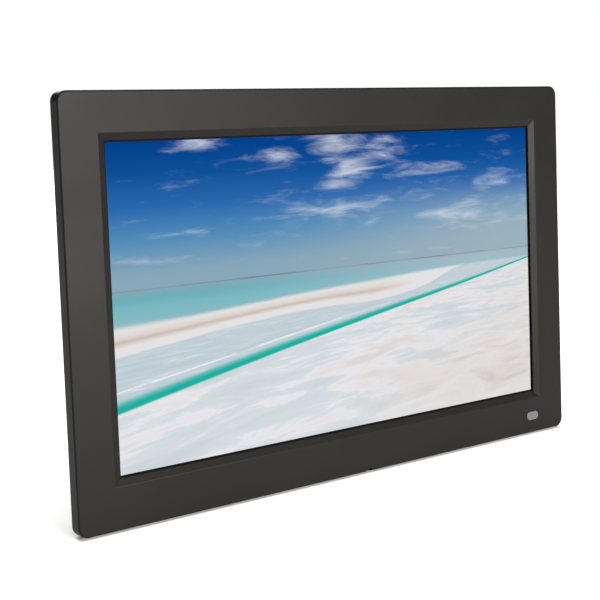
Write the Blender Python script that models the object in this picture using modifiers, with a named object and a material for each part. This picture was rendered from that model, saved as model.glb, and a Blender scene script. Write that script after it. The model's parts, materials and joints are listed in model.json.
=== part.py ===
"""Digital photo frame: a wide-bezel display that stands on two feet and a leg that swings out of its back.

The frame is modelled upright in its own axes: X to the viewer's right, Y into the frame from the
front face, Z up from the bottom edge. The empty photo_frame_root leans it back and stands it on Z = 0.
"""

import math

import bmesh
import bpy
from mathutils import Matrix, Vector

MM = 0.001

# Driving sizes
PICTURE_W = 293.8 * MM
PICTURE_H = 165.2 * MM
BORDER_SIDE = 25.7 * MM  # picture edge to outer edge, left and right
BORDER_TOP = 25.5 * MM
BORDER_BOTTOM = 26.8 * MM
FRAME_DEPTH = 26 * MM
LEAN = math.radians(3.5)

# Clearances
GAP = 0.3 * MM  # between pieces that touch or face each other
RUN = 0.2 * MM  # around a piece in its own hole or slot
CUT = 1 * MM  # how far a cutter runs past the face that it cuts

# Front bezel
SHELL_DEPTH = 7.4 * MM
FACE = 2 * MM
WALL = 2.2 * MM
CORNER_R = 5.4 * MM
EDGE_R = 1 * MM
MARGIN = 1 * MM  # dark rim between the picture and the window's edge
CHAMFER = 3.8 * MM
CHAMFER_DEPTH = 1.7 * MM
BOSS_R = 3.5 * MM
PILOT_R = 1.45 * MM
NOTCH_X, NOTCH_W, NOTCH_H = 10.2 * MM, 4.2 * MM, 1.7 * MM

# Remote-control window and receiver
IR_W, IR_H, IR_R = 10 * MM, 5.5 * MM, 2.5 * MM
IR_FROM_SIDE = 27.3 * MM
IR_FROM_BOTTOM = 10.6 * MM
IR_RIM = 1.4 * MM
IR_RIM_T = 0.9 * MM
IR_BODY, IR_BODY_W = 3.4 * MM, 6 * MM  # the receiver's depth, and its width and height
IR_BOARD_W, IR_BOARD_T = 18 * MM, 1 * MM
IR_BOARD_LOW, IR_BOARD_HIGH = 4 * MM, 5 * MM  # below and above the window's middle

# Display module
MODULE_SIDE = 6.1 * MM  # picture edge to the module's outer edge
MODULE_TOP = 8.4 * MM
SHEET = 0.4 * MM
LIP = 4.4 * MM  # width of the steel frame's front lip
LAYER_GAP = 0.2 * MM
CELL_T, FILMS_T, GUIDE_T, REFLECTOR_T = 1.2 * MM, 0.5 * MM, 2 * MM, 0.3 * MM
LED_H = 2.4 * MM
DRIVER_W, DRIVER_H, DRIVER_T = 200 * MM, 18 * MM, 1 * MM
DRIVER_RISE = 5 * MM  # above the module's lower edge
BRACKET_T, BRACKET_HOLE_R = 0.8 * MM, 1.7 * MM
BRACKET_LAP = 14 * MM  # from a bracket's screws in over the module
BRACKET_REST = 5 * MM  # from its screws out to its other edge
BRACKET_END = 6 * MM  # from its screws to its ends
BRACKET_SCREW_CLEAR = 1.4 * MM  # from a bracket screw's head to the port pocket's wall

# Screws
SCREW_R = 1.3 * MM
HEAD_R = 2.7 * MM
HEAD_T = 1.8 * MM
SCREW_L = 8 * MM
SHORT_SCREW_L = 5 * MM
SCREW_HOLE_R = 1.6 * MM
CASE_BOSS_INSET = 11 * MM
CASE_SEAT = 2 * MM  # thickness under a case screw's head
CASE_BOSS_TOP = 10 * MM
LOWER_SCREW_X = 24 * MM

# Rear cover
RIM_INSET = 2 * MM
SLOPE_INSET = 16 * MM  # back face's edge, from the bezel's outline
BOTTOM_INSET = 3 * MM
COVER_R = 6 * MM
TONGUE_L, TONGUE_T = 2.6 * MM, 1.5 * MM

# Stand
LEG_REACH = 82 * MM
LEG_T = 6 * MM
LEG_H = 50 * MM
LEG_TIP_H = 14 * MM
LEG_KNEE = 34 * MM
LEG_BOTTOM = 8.5 * MM
LEG_CORNER_R = 5 * MM
PIN_R = 1.25 * MM
PIN_CLEAR = 0.06 * MM
RECESS_FLOOR = 1.3 * MM  # from the stowed leg to the recess's floor
RECESS_CLEAR = 1.5 * MM  # around the stowed leg
FINGER = 10 * MM
HINGE_BLOCK_W, HINGE_BLOCK_H = 10 * MM, 8 * MM
PIN_IN = 5.5 * MM  # how far the pin goes into the block above the leg
PAD_L, PAD_IN = 18 * MM, 2 * MM
FOOT_W, FOOT_L, FOOT_SEAT = 36 * MM, 4.4 * MM, 0.8 * MM
FOOT_Y, FOOT_X = 3.1 * MM, 118 * MM
FEET_PROUD = 1.05 * MM  # floor below the bottom edge, at the front face

# Main board and its ports
POCKET_FROM_SIDE = 32 * MM  # the port wall, from the bezel's outline
POCKET_Z, POCKET_H = 62 * MM, 98 * MM
POCKET_FLOOR = 12.2 * MM
PORT_WALL = 2 * MM
BOARD_W, BOARD_H, BOARD_T = 92 * MM, 100 * MM, 1.6 * MM
BOARD_Y = 13.4 * MM
BOARD_POST_X = 38 * MM  # from the port side in to the nearer posts
POST_R, POST_HOLE_R = 3 * MM, 1.5 * MM
POST_IN = 5 * MM
# name: lower left corner on the board (x, z), width, height and thickness, in millimetres
CHIPS = {
    "processor": (38, 62, 22, 22, 1.6),
    "memory_chip": (12, 72, 10, 18, 1.2),
}
CELL_R, CELL_DISC_T, CELL_HOLDER = 10 * MM, 3.2 * MM, 1.2 * MM
# name: centre above the pocket's lower edge, width along Z, height along Y, depth along X
PORTS = {
    "card_slot": (16 * MM, 28 * MM, 3.4 * MM, 27 * MM),
    "usb_socket": (40 * MM, 14 * MM, 6.4 * MM, 15 * MM),
    "mini_usb_socket": (54 * MM, 8 * MM, 4.2 * MM, 10 * MM),
    "earphone_jack": (65 * MM, 7 * MM, 6 * MM, 13 * MM),
    "power_jack": (77 * MM, 9 * MM, 7 * MM, 13 * MM),
    "power_switch": (90 * MM, 11 * MM, 5 * MM, 6 * MM),
}
PORT_RECESS = 0.5 * MM  # from the port wall's face in to the sockets' mouths
PORT_SHELL, PORT_BACK = 0.5 * MM, 1 * MM
TONGUE_W, USB_TONGUE_T, TONGUE_SHORT = 10.8 * MM, 1.8 * MM, 1.5 * MM
PHONE_BORE_R, PHONE_FLOOR = 1.8 * MM, 2 * MM
POWER_BORE_R, POWER_FLOOR, POWER_PIN_R = 2.8 * MM, 3 * MM, 0.9 * MM
SWITCH_TRAVEL, SWITCH_SLOT = 2.5 * MM, 2 * MM
KNOB_L, KNOB_H, KNOB_PROUD = 3 * MM, 2 * MM, 1 * MM

# Keys
KEYS_FROM_SIDE = 73 * MM
KEYS_FROM_TOP = 80 * MM
KEY_STEP = 14 * MM
KEY_W, KEY_H, KEY_R = 9 * MM, 9 * MM, 1.5 * MM
WIDE_KEY_W, WIDE_KEY_H = 13 * MM, 6 * MM
OK_R = 5 * MM
KEY_PROUD = 0.8 * MM
KEY_TRAVEL = 0.6 * MM
KEY_RIM, KEY_RIM_T = 1 * MM, 1 * MM
KEY_BOARD_W, KEY_BOARD_H, KEY_BOARD_T = 48 * MM, 64 * MM, 1.6 * MM
KEY_BOARD_DROP = 5 * MM  # its middle, below the middle of the keys
KEY_POST_IN = 4 * MM

# Speakers, wall hooks and air slots
SPEAKER_W, SPEAKER_H, SPEAKER_T = 28 * MM, 42 * MM, 8 * MM
SPEAKER_R, CONE_INSET, CONE_RISE = 4 * MM, 2.5 * MM, 1.2 * MM
SPEAKER_FROM_SIDE, SPEAKER_Z = 39 * MM, 33 * MM
KEYHOLE_X, KEYHOLE_FROM_TOP = 60 * MM, 36 * MM
KEYHOLE_R, KEYHOLE_SLOT, KEYHOLE_RISE = 4.4 * MM, 4.6 * MM, 8 * MM
VENT_W, VENT_L, VENT_PITCH, VENTS = 2 * MM, 24 * MM, 6 * MM, 9
VENT_RISE = 48 * MM  # above the main board's lower edge
GRILLE_SLOTS, GRILLE_PITCH, GRILLE_L, GRILLE_W = 7, 5 * MM, 20 * MM, 1.6 * MM

# Worked out from the sizes above
HALF_W = PICTURE_W / 2 + BORDER_SIDE
HEIGHT = PICTURE_H + BORDER_TOP + BORDER_BOTTOM
MID_Z = BORDER_BOTTOM + PICTURE_H / 2  # the picture's middle
MODULE_HALF_W = PICTURE_W / 2 + MODULE_SIDE
MODULE_HALF_H = PICTURE_H / 2 + MODULE_TOP
LIP_Y = FACE + GAP
CELL_Y = LIP_Y + SHEET + LAYER_GAP
FILMS_Y = CELL_Y + CELL_T + LAYER_GAP
GUIDE_Y = FILMS_Y + FILMS_T + LAYER_GAP
REFLECTOR_Y = GUIDE_Y + GUIDE_T + LAYER_GAP
CHASSIS_Y = REFLECTOR_Y + REFLECTOR_T + LAYER_GAP
MODULE_BACK = CHASSIS_Y + SHEET
DRIVER_Y = MODULE_BACK + GAP
BRACKET_X = MODULE_HALF_W + 7 * MM
BRACKET_OFF = WALL + HEAD_R + BRACKET_SCREW_CLEAR
BRACKET_SCREW_Z = (POCKET_Z - BRACKET_OFF, POCKET_Z + POCKET_H + BRACKET_OFF)
RIM_Y = SHELL_DEPTH + GAP
INNER_BACK = FRAME_DEPTH - WALL
CASE_SEAT_Y = CASE_BOSS_TOP + GAP
PORT_X = HALF_W - POCKET_FROM_SIDE
BOARD_X1 = PORT_X - PORT_WALL - GAP - 0.2 * MM
BOARD_X0 = BOARD_X1 - BOARD_W
BOARD_Z0 = POCKET_Z
BOARD_BACK = BOARD_Y + BOARD_T
LEG_Y = FRAME_DEPTH - 0.5 * MM - LEG_T / 2
LEG_TOP = LEG_BOTTOM + LEG_H
RECESS_Y = LEG_Y - LEG_T / 2 - RECESS_FLOOR
RECESS_X1 = LEG_T / 2 + GAP
RECESS_X0 = -(LEG_REACH + RECESS_CLEAR + FINGER)
RECESS_TOP = LEG_TOP + RECESS_CLEAR
KEYS_X = -(HALF_W - KEYS_FROM_SIDE)
KEYS_Z = HEIGHT - KEYS_FROM_TOP
KEY_BASE_Y = INNER_BACK - GAP - KEY_RIM_T
KEY_BOARD_Y = KEY_BASE_Y - KEY_TRAVEL - GAP - KEY_BOARD_T
KEY_BOARD_Z = KEYS_Z - KEY_BOARD_DROP
SPEAKER_X = HALF_W - SPEAKER_FROM_SIDE
KEYHOLE_Z = HEIGHT - KEYHOLE_FROM_TOP

# Root placement: the floor plane passes FEET_PROUD below the front face, and the box is centred
TIP_Y = LEG_Y + LEG_REACH
TIP_TOP_Z = LEG_BOTTOM + LEG_TIP_H - LEG_CORNER_R
FRONT_REACH = EDGE_R * math.sin(LEAN)
BACK_REACH = TIP_Y * math.cos(LEAN) + TIP_TOP_Z * math.sin(LEAN)
ROOT_PLACE = (0, -(FRONT_REACH + BACK_REACH) / 2, FEET_PROUD * math.cos(LEAN))

# name: (base colour, roughness, metallic)
FINISHES = {
    "black_abs": ((0.022, 0.021, 0.020), 0.45, 0),
    "rear_abs": ((0.016, 0.016, 0.016), 0.6, 0),
    "button_plastic": ((0.05, 0.05, 0.052), 0.35, 0),
    "smoked_acrylic": ((0.30, 0.30, 0.33), 0.3, 0),
    "display_glass": ((0.25, 0.5, 0.6), 0.2, 0),
    "clear_acrylic": ((0.8, 0.85, 0.85), 0.1, 0),
    "white_film": ((0.85, 0.85, 0.85), 0.5, 0),
    "steel_sheet": ((0.6, 0.6, 0.6), 0.35, 1),
    "screw_steel": ((0.12, 0.12, 0.13), 0.35, 1),
    "green_laminate": ((0.02, 0.16, 0.06), 0.4, 0),
    "chip_black": ((0.02, 0.02, 0.022), 0.5, 0),
    "wire_sheath": ((0.35, 0.03, 0.03), 0.5, 0),
    "ribbon_white": ((0.7, 0.72, 0.75), 0.4, 0),
    "soft_rubber": ((0.03, 0.03, 0.03), 0.85, 0),
}


def floor_z(y):
    """Height of the floor in the frame's own axes, at depth y."""
    return -FEET_PROUD + y * math.tan(LEAN)


def cover_edge(y):
    """How far the rear cover's sloping sides are inside the bezel's outline, at depth y."""
    along = (y - RIM_Y) / (FRAME_DEPTH - RIM_Y)
    return RIM_INSET + along * (SLOPE_INSET - RIM_INSET)


def clear_scene():
    for item in list(bpy.data.objects):
        bpy.data.objects.remove(item, do_unlink=True)


def new_collection(name):
    collection = bpy.data.collections.new(name)
    bpy.context.scene.collection.children.link(collection)
    return collection


def make_finish(name):
    colour, roughness, metallic = FINISHES[name]
    finish = bpy.data.materials.new(name)
    finish.use_nodes = True
    shader = finish.node_tree.nodes["Principled BSDF"]
    shader.inputs["Base Color"].default_value = (*colour, 1)
    shader.inputs["Roughness"].default_value = roughness
    shader.inputs["Metallic"].default_value = metallic
    finish.diffuse_color = (*colour, 1)
    return finish


def finish_named(name):
    return bpy.data.materials.get(name) or make_finish(name)


# Shapes added to a bmesh

def add_box(bm, low, high):
    size = Vector(high) - Vector(low)
    centre = (Vector(high) + Vector(low)) / 2
    place = Matrix.Translation(centre) @ Matrix.Diagonal((*size, 1))
    return bmesh.ops.create_cube(bm, size=1, matrix=place)["verts"]


def edges_along(verts, axis):
    """The edges between these vertices that run parallel to one axis."""
    others = [i for i in range(3) if i != "XYZ".index(axis)]
    edges = {edge for vert in verts for edge in vert.link_edges}
    return [
        edge for edge in edges
        if all(abs(edge.verts[0].co[i] - edge.verts[1].co[i]) < 1e-7 for i in others)
    ]


def add_round_box(bm, low, high, radius, along="Y", segments=3):
    verts = add_box(bm, low, high)
    bmesh.ops.bevel(
        bm, geom=edges_along(verts, along), offset=radius, segments=segments,
        profile=0.5, affect="EDGES",
    )


def add_rod(bm, start, end, radius, segments=16):
    line = Vector(end) - Vector(start)
    turn = line.to_track_quat("Z", "Y").to_matrix().to_4x4()
    place = Matrix.Translation((Vector(start) + Vector(end)) / 2) @ turn
    bmesh.ops.create_cone(
        bm, cap_ends=True, segments=segments, radius1=radius, radius2=radius,
        depth=line.length, matrix=place,
    )


def add_rod_y(bm, x, z, y0, y1, radius, segments=16):
    add_rod(bm, (x, y0, z), (x, y1, z), radius, segments)


def add_taper(bm, front, back):
    """A box whose front and back rectangles differ: each is (y, x0, z0, x1, z1)."""
    verts = add_box(bm, (-1, 0, -1), (1, 1, 1))
    for vert in verts:
        y, x0, z0, x1, z1 = back if vert.co.y > 0.5 else front
        vert.co = Vector((x1 if vert.co.x > 0 else x0, y, z1 if vert.co.z > 0 else z0))
    return verts


def raise_face(bm, face, inset, height):
    """Steps a face in, then pulls it out along its normal."""
    bmesh.ops.inset_region(bm, faces=[face], thickness=inset, use_even_offset=True)
    pulled = bmesh.ops.extrude_discrete_faces(bm, faces=[face])["faces"][0]
    bmesh.ops.translate(bm, vec=pulled.normal * height, verts=list(pulled.verts))


def facing(bm, direction):
    """The face whose normal points most nearly this way, and lies furthest along it."""
    direction = Vector(direction)
    return max(
        bm.faces,
        key=lambda face: (round(face.normal.dot(direction), 3), face.calc_center_median().dot(direction)),
    )


# Objects

class Model:
    """Holds the collections and the root that every object is parented to."""

    def __init__(self):
        self.parts = new_collection("digital_photo_frame")
        self.cutters = new_collection("cutters")
        self.root = bpy.data.objects.new("photo_frame_root", None)
        self.root.location = ROOT_PLACE
        self.root.rotation_euler = (-LEAN, 0, 0)
        self.parts.objects.link(self.root)

    def piece(self, name, bm, finish, at=(0, 0, 0), parent=None):
        """A named object from a bmesh modelled about the point at, in its parent's axes."""
        mesh = bpy.data.meshes.new(name)
        bmesh.ops.recalc_face_normals(bm, faces=bm.faces)
        bm.to_mesh(mesh)
        bm.free()
        mesh.shade_smooth()
        mesh.set_sharp_from_angle(angle=math.radians(35))
        return self.place(name, mesh, finish, at, parent)

    def place(self, name, mesh, finish, at, parent=None):
        piece = bpy.data.objects.new(name, mesh)
        piece.location = at
        piece.parent = parent or self.root
        if not mesh.materials:
            mesh.materials.append(finish_named(finish))
        self.parts.objects.link(piece)
        return piece

    def box(self, name, low, high, finish):
        """A plain block, placed by its centre."""
        centre = (Vector(low) + Vector(high)) / 2
        bm = bmesh.new()
        add_box(bm, Vector(low) - centre, Vector(high) - centre)
        return self.piece(name, bm, finish, centre)

    def boolean(self, piece, operation, bm, label):
        """Joins or cuts a piece with a bmesh in the piece's own axes."""
        mesh = bpy.data.meshes.new(label)
        bmesh.ops.recalc_face_normals(bm, faces=bm.faces)
        bm.to_mesh(mesh)
        bm.free()
        tool = bpy.data.objects.new(label, mesh)
        tool.parent = piece.parent
        tool.location = piece.location
        tool.hide_render = True
        tool.display_type = "WIRE"
        self.cutters.objects.link(tool)
        step = piece.modifiers.new(label, "BOOLEAN")
        step.operation = operation
        step.solver = "EXACT"
        step.object = tool
        return tool

    def cut(self, piece, bm, label):
        return self.boolean(piece, "DIFFERENCE", bm, label)

    def join(self, piece, bm, label):
        return self.boolean(piece, "UNION", bm, label)


# Front

def case_screw_spots():
    """Six spots (x, z): the four corners, the top's middle and one beside the stand's hinge."""
    side = HALF_W - CASE_BOSS_INSET
    low, high = CASE_BOSS_INSET, HEIGHT - CASE_BOSS_INSET
    return [(-side, low), (side, low), (-side, high), (side, high), (0, high), (LOWER_SCREW_X, low)]


def bracket_screw_spots():
    return [(side * BRACKET_X, z) for side in (-1, 1) for z in BRACKET_SCREW_Z]


def make_front_bezel(model):
    bm = bmesh.new()
    verts = add_box(bm, (-HALF_W, 0, 0), (HALF_W, SHELL_DEPTH, HEIGHT))
    bmesh.ops.bevel(
        bm, geom=edges_along(verts, "Y"), offset=CORNER_R, segments=5, profile=0.5, affect="EDGES"
    )
    outline = list(facing(bm, (0, -1, 0)).edges)
    bmesh.ops.bevel(bm, geom=outline, offset=EDGE_R, segments=2, profile=0.5, affect="EDGES")
    bezel = model.piece("front_bezel", bm, "black_abs")

    bm = bmesh.new()
    add_round_box(
        bm, (WALL - HALF_W, FACE, WALL), (HALF_W - WALL, SHELL_DEPTH + CUT, HEIGHT - WALL),
        CORNER_R - WALL,
    )
    model.cut(bezel, bm, "bezel_pocket")

    bosses = [(x, z, CASE_BOSS_TOP) for x, z in case_screw_spots()]
    bosses += [(x, z, MODULE_BACK) for x, z in bracket_screw_spots()]
    solid, pilot = bmesh.new(), bmesh.new()
    for x, z, top in bosses:
        add_rod_y(solid, x, z, FACE / 2, top, BOSS_R, 14)
        add_rod_y(pilot, x, z, FACE + CUT, top + CUT, PILOT_R, 12)
    model.join(bezel, solid, "bezel_bosses")
    model.cut(bezel, pilot, "bezel_pilot_holes")

    half_w = PICTURE_W / 2 + MARGIN
    half_h = PICTURE_H / 2 + MARGIN
    spread = CHAMFER * (1 + CUT / CHAMFER_DEPTH)
    bm = bmesh.new()
    add_taper(
        bm,
        (-CUT, -half_w - spread, MID_Z - half_h - spread, half_w + spread, MID_Z + half_h + spread),
        (CHAMFER_DEPTH, -half_w, MID_Z - half_h, half_w, MID_Z + half_h),
    )
    model.cut(bezel, bm, "window_chamfer")
    bm = bmesh.new()
    add_box(bm, (-half_w, CHAMFER_DEPTH - CUT, MID_Z - half_h), (half_w, FACE + CUT, MID_Z + half_h))
    model.cut(bezel, bm, "window_opening")

    ir_x = HALF_W - IR_FROM_SIDE
    half = Vector((IR_W / 2 + RUN, 0, IR_H / 2 + RUN))
    bm = bmesh.new()
    add_round_box(
        bm, Vector((ir_x, -CUT, IR_FROM_BOTTOM)) - half,
        Vector((ir_x, FACE + CUT, IR_FROM_BOTTOM)) + half, IR_R, segments=5,
    )
    add_box(bm, (NOTCH_X - NOTCH_W / 2, -CUT, -CUT), (NOTCH_X + NOTCH_W / 2, WALL, NOTCH_H))
    for side in (-1, 1):
        x = side * FOOT_X
        add_box(
            bm, (x - FOOT_W / 2 - RUN, FOOT_Y - RUN, -CUT),
            (x + FOOT_W / 2 + RUN, FOOT_Y + FOOT_L + RUN, FOOT_SEAT),
        )
    model.cut(bezel, bm, "bezel_holes")


def make_ir_receiver(model):
    at = Vector((HALF_W - IR_FROM_SIDE, 0, IR_FROM_BOTTOM))
    rim_y = FACE + GAP
    bm = bmesh.new()
    add_round_box(
        bm, (-IR_W / 2 - IR_RIM, rim_y, -IR_H / 2 - IR_RIM),
        (IR_W / 2 + IR_RIM, rim_y + IR_RIM_T, IR_H / 2 + IR_RIM), IR_R + IR_RIM, segments=5,
    )
    raise_face(bm, facing(bm, (0, -1, 0)), IR_RIM, rim_y)
    model.piece("ir_window", bm, "smoked_acrylic", at)

    half = IR_BODY_W / 2
    body_y = rim_y + IR_RIM_T + GAP
    bm = bmesh.new()
    add_round_box(bm, (-half, body_y, -half), (half, body_y + IR_BODY, half), half / 5)
    model.piece("ir_receiver", bm, "chip_black", at)
    board_y = body_y + IR_BODY + GAP
    model.box(
        "ir_board", at + Vector((-IR_BOARD_W / 2, board_y, -IR_BOARD_LOW)),
        at + Vector((IR_BOARD_W / 2, board_y + IR_BOARD_T, IR_BOARD_HIGH)), "green_laminate",
    )


# Display module

def tray(model, name, y0, y1, finish, front, wall_inset=0.0, window=None):
    """A pressed tray around the module: a sheet at one end and four walls of the same sheet."""
    half_w, half_h = MODULE_HALF_W - wall_inset, MODULE_HALF_H - wall_inset
    bm = bmesh.new()
    add_box(bm, (-half_w, y0, MID_Z - half_h), (half_w, y1, MID_Z + half_h))
    piece = model.piece(name, bm, finish)
    bm = bmesh.new()
    inner_w, inner_h = half_w - SHEET, half_h - SHEET
    low_y, high_y = (y0 + SHEET, y1 + CUT) if front else (y0 - CUT, y1 - SHEET)
    add_box(bm, (-inner_w, low_y, MID_Z - inner_h), (inner_w, high_y, MID_Z + inner_h))
    model.cut(piece, bm, name + "_inside")
    if window:
        open_w, open_h = window
        bm = bmesh.new()
        add_box(bm, (-open_w, y0 - CUT, MID_Z - open_h), (open_w, y1 + CUT, MID_Z + open_h))
        model.cut(piece, bm, name + "_window")


def layer(model, name, y, thickness, finish, lower=0.0):
    """One sheet of the display's stack; lower leaves room for the light bar below it."""
    half_w = MODULE_HALF_W - 2 * SHEET - 3 * LAYER_GAP
    half_h = MODULE_HALF_H - 2 * SHEET - 3 * LAYER_GAP
    model.box(name, (-half_w, y, MID_Z - half_h + lower), (half_w, y + thickness, MID_Z + half_h), finish)


def make_display(model):
    window = (MODULE_HALF_W - LIP, MODULE_HALF_H - LIP)
    tray(model, "lcd_front_frame", LIP_Y, CHASSIS_Y, "steel_sheet", True, window=window)
    layer(model, "lcd_cell", CELL_Y, CELL_T, "display_glass")
    layer(model, "optical_films", FILMS_Y, FILMS_T, "white_film")
    layer(model, "light_guide", GUIDE_Y, GUIDE_T, "clear_acrylic", LED_H + GAP)
    layer(model, "reflector_sheet", REFLECTOR_Y, REFLECTOR_T, "white_film")
    half_w = MODULE_HALF_W - 2 * SHEET - 3 * LAYER_GAP
    low_z = MID_Z - MODULE_HALF_H + 2 * SHEET + 3 * LAYER_GAP
    model.box(
        "led_bar", (-half_w, GUIDE_Y, low_z), (half_w, GUIDE_Y + GUIDE_T, low_z + LED_H), "white_film"
    )
    tray(model, "lcd_chassis", FILMS_Y, MODULE_BACK, "steel_sheet", False, SHEET + LAYER_GAP)
    driver_z = MID_Z - MODULE_HALF_H + DRIVER_RISE
    model.box(
        "lcd_driver_board", (-DRIVER_W / 2, DRIVER_Y, driver_z),
        (DRIVER_W / 2, DRIVER_Y + DRIVER_T, driver_z + DRIVER_H), "green_laminate",
    )
    make_brackets(model)


def make_brackets(model):
    low, high = BRACKET_SCREW_Z
    half_pitch = (high - low) / 2
    half_h = half_pitch + BRACKET_END
    for side, name in ((-1, "lcd_bracket_left"), (1, "lcd_bracket_right")):
        centre = Vector((side * BRACKET_X, MODULE_BACK + GAP, (low + high) / 2))
        bm = bmesh.new()
        add_box(bm, (-BRACKET_LAP, 0, -half_h), (BRACKET_REST, BRACKET_T, half_h))
        bmesh.ops.scale(bm, vec=(side, 1, 1), verts=bm.verts)
        bracket = model.piece(name, bm, "steel_sheet", centre)
        bm = bmesh.new()
        for z in (-half_pitch, half_pitch):
            add_rod_y(bm, 0, z, -CUT, BRACKET_T + CUT, BRACKET_HOLE_R, 12)
        model.cut(bracket, bm, name + "_holes")


# Screws

def screw_mesh(name, length):
    """A pan-head screw turned about Z: the underside of its head is at Z = 0, its tip below."""
    outline = [(0, HEAD_T), (HEAD_R * 0.75, HEAD_T), (HEAD_R, HEAD_T * 0.5), (HEAD_R, 0)]
    outline += [(SCREW_R, 0), (SCREW_R, -length + SCREW_R), (0, -length)]
    bm = bmesh.new()
    points = [bm.verts.new((radius, 0, height)) for radius, height in outline]
    for first, second in zip(points, points[1:]):
        bm.edges.new((first, second))
    bmesh.ops.spin(
        bm, geom=bm.verts[:] + bm.edges[:], axis=(0, 0, 1), cent=(0, 0, 0),
        angle=math.tau, steps=12, use_merge=True,
    )
    bmesh.ops.remove_doubles(bm, verts=bm.verts, dist=0.01 * MM)
    bmesh.ops.recalc_face_normals(bm, faces=bm.faces)
    mesh = bpy.data.meshes.new(name)
    bm.to_mesh(mesh)
    bm.free()
    mesh.shade_smooth()
    mesh.set_sharp_from_angle(angle=math.radians(35))
    return mesh


def place_screws(model, mesh, name, spots, seat_y, from_back=True):
    """Copies of a screw whose heads sit at depth seat_y and face the back, or the front."""
    turn = math.radians(-90 if from_back else 90)
    for number, (x, z) in enumerate(spots, 1):
        screw = model.place(f"{name}_{number}", mesh, "screw_steel", (x, seat_y, z))
        screw.rotation_euler = (turn, 0, 0)


def make_screws(model):
    long_screw = screw_mesh("long_screw", SCREW_L)
    short_screw = screw_mesh("short_screw", SHORT_SCREW_L)
    place_screws(model, long_screw, "case_screw", case_screw_spots(), CASE_SEAT_Y + CASE_SEAT + GAP)
    seat = MODULE_BACK + GAP + BRACKET_T + GAP
    place_screws(model, short_screw, "bracket_screw", bracket_screw_spots(), seat)
    place_screws(model, short_screw, "board_screw", board_posts()[:2], BOARD_Y - GAP, False)


# Boards and ports

def board_posts():
    """Four posts (x, z) behind the board: screws go into the first two."""
    left, right = BOARD_X0 + POST_IN, BOARD_X1 - BOARD_POST_X
    low, high = BOARD_Z0 + POST_IN, BOARD_Z0 + BOARD_H - POST_IN
    return [(left, low), (right, high), (left, high), (right, low)]


def make_main_board(model):
    bm = bmesh.new()
    add_round_box(
        bm, (BOARD_X0, BOARD_Y, BOARD_Z0), (BOARD_X1, BOARD_BACK, BOARD_Z0 + BOARD_H), 2 * MM
    )
    board = model.piece("main_board", bm, "green_laminate")
    bm = bmesh.new()
    for x, z in board_posts():
        add_rod_y(bm, x, z, BOARD_Y - CUT, BOARD_BACK + CUT, SCREW_HOLE_R, 12)
    model.cut(board, bm, "board_holes")

    back = BOARD_BACK + GAP
    for name, (x, z, width, height, thickness) in CHIPS.items():
        low = Vector((BOARD_X0 + x * MM, back, BOARD_Z0 + z * MM))
        model.box(name, low, low + Vector((width, thickness, height)) * MM, "chip_black")
    make_coin_cell(model, BOARD_X0 + 24 * MM, BOARD_Z0 + 34 * MM, back)


def make_coin_cell(model, x, z, back):
    wall = CELL_HOLDER
    bm = bmesh.new()
    add_rod_y(bm, 0, 0, 0, CELL_DISC_T + wall, CELL_R + wall, 24)
    holder = model.piece("coin_cell_holder", bm, "chip_black", (x, back, z))
    bm = bmesh.new()
    add_rod_y(bm, 0, 0, wall, CELL_DISC_T + wall + CUT, CELL_R + GAP, 24)
    model.cut(holder, bm, "coin_cell_seat")
    bm = bmesh.new()
    add_rod_y(bm, 0, 0, 0, CELL_DISC_T, CELL_R, 24)
    model.piece("coin_cell", bm, "steel_sheet", (x, back + wall + GAP, z))


def port_box(name):
    """Lowest and highest corners of a port: its mouth is in the port wall, the switch behind it."""
    centre, width, height, depth = PORTS[name]
    x1 = PORT_X - (PORT_WALL + GAP if name == "power_switch" else PORT_RECESS)
    z = POCKET_Z + centre
    y = BOARD_BACK + GAP
    return Vector((x1 - depth, y, z - width / 2)), Vector((x1, y + height, z + width / 2))


def make_ports(model):
    for name in PORTS:
        low, high = port_box(name)
        finish = "steel_sheet" if "usb" in name or "card" in name else "chip_black"
        socket = model.box(name, low, high, finish)
        half = (high - low) / 2
        bm = bmesh.new()
        if name == "earphone_jack":
            add_rod(bm, (PHONE_FLOOR - half.x, 0, 0), (half.x + CUT, 0, 0), PHONE_BORE_R, 12)
        elif name == "power_jack":
            add_rod(bm, (POWER_FLOOR - half.x, 0, 0), (half.x + CUT, 0, 0), POWER_BORE_R, 14)
        elif name == "power_switch":
            slot = Vector((SWITCH_SLOT, KNOB_H / 2 + RUN, (KNOB_L + SWITCH_TRAVEL) / 2 + RUN))
            add_box(bm, (half.x - slot.x, -slot.y, -slot.z), (half.x + CUT, slot.y, slot.z))
        else:
            room = Vector((half.x - PORT_BACK, half.y - PORT_SHELL, half.z - PORT_SHELL))
            add_box(bm, -room, room + Vector((PORT_BACK + CUT, 0, 0)))
        model.cut(socket, bm, name + "_mouth")
        if name == "usb_socket":
            tongue = Vector((half.x - TONGUE_SHORT, USB_TONGUE_T / 2, TONGUE_W / 2))
            bm = bmesh.new()
            add_box(bm, (-half.x, -tongue.y, -tongue.z), tongue)
            model.join(socket, bm, "usb_tongue")
        if name == "power_jack":
            end = half.x - PORT_BACK
            bm = bmesh.new()
            add_rod(bm, (-end, 0, 0), (end, 0, 0), POWER_PIN_R, 10)
            model.join(socket, bm, "power_jack_pin")
    make_switch_knob(model)


def make_switch_knob(model):
    """The knob stands at the lower end of its slot and slides up."""
    low, high = port_box("power_switch")
    centre = (low + high) / 2
    at = Vector((high.x - SWITCH_SLOT + RUN, centre.y, centre.z - SWITCH_TRAVEL / 2))
    length = PORT_X + KNOB_PROUD - at.x
    bm = bmesh.new()
    add_round_box(bm, (0, -KNOB_H / 2, -KNOB_L / 2), (length, KNOB_H / 2, KNOB_L / 2), 0.4 * MM, "X", 2)
    model.piece("power_switch_knob", bm, "button_plastic", at)


# Keys

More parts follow.
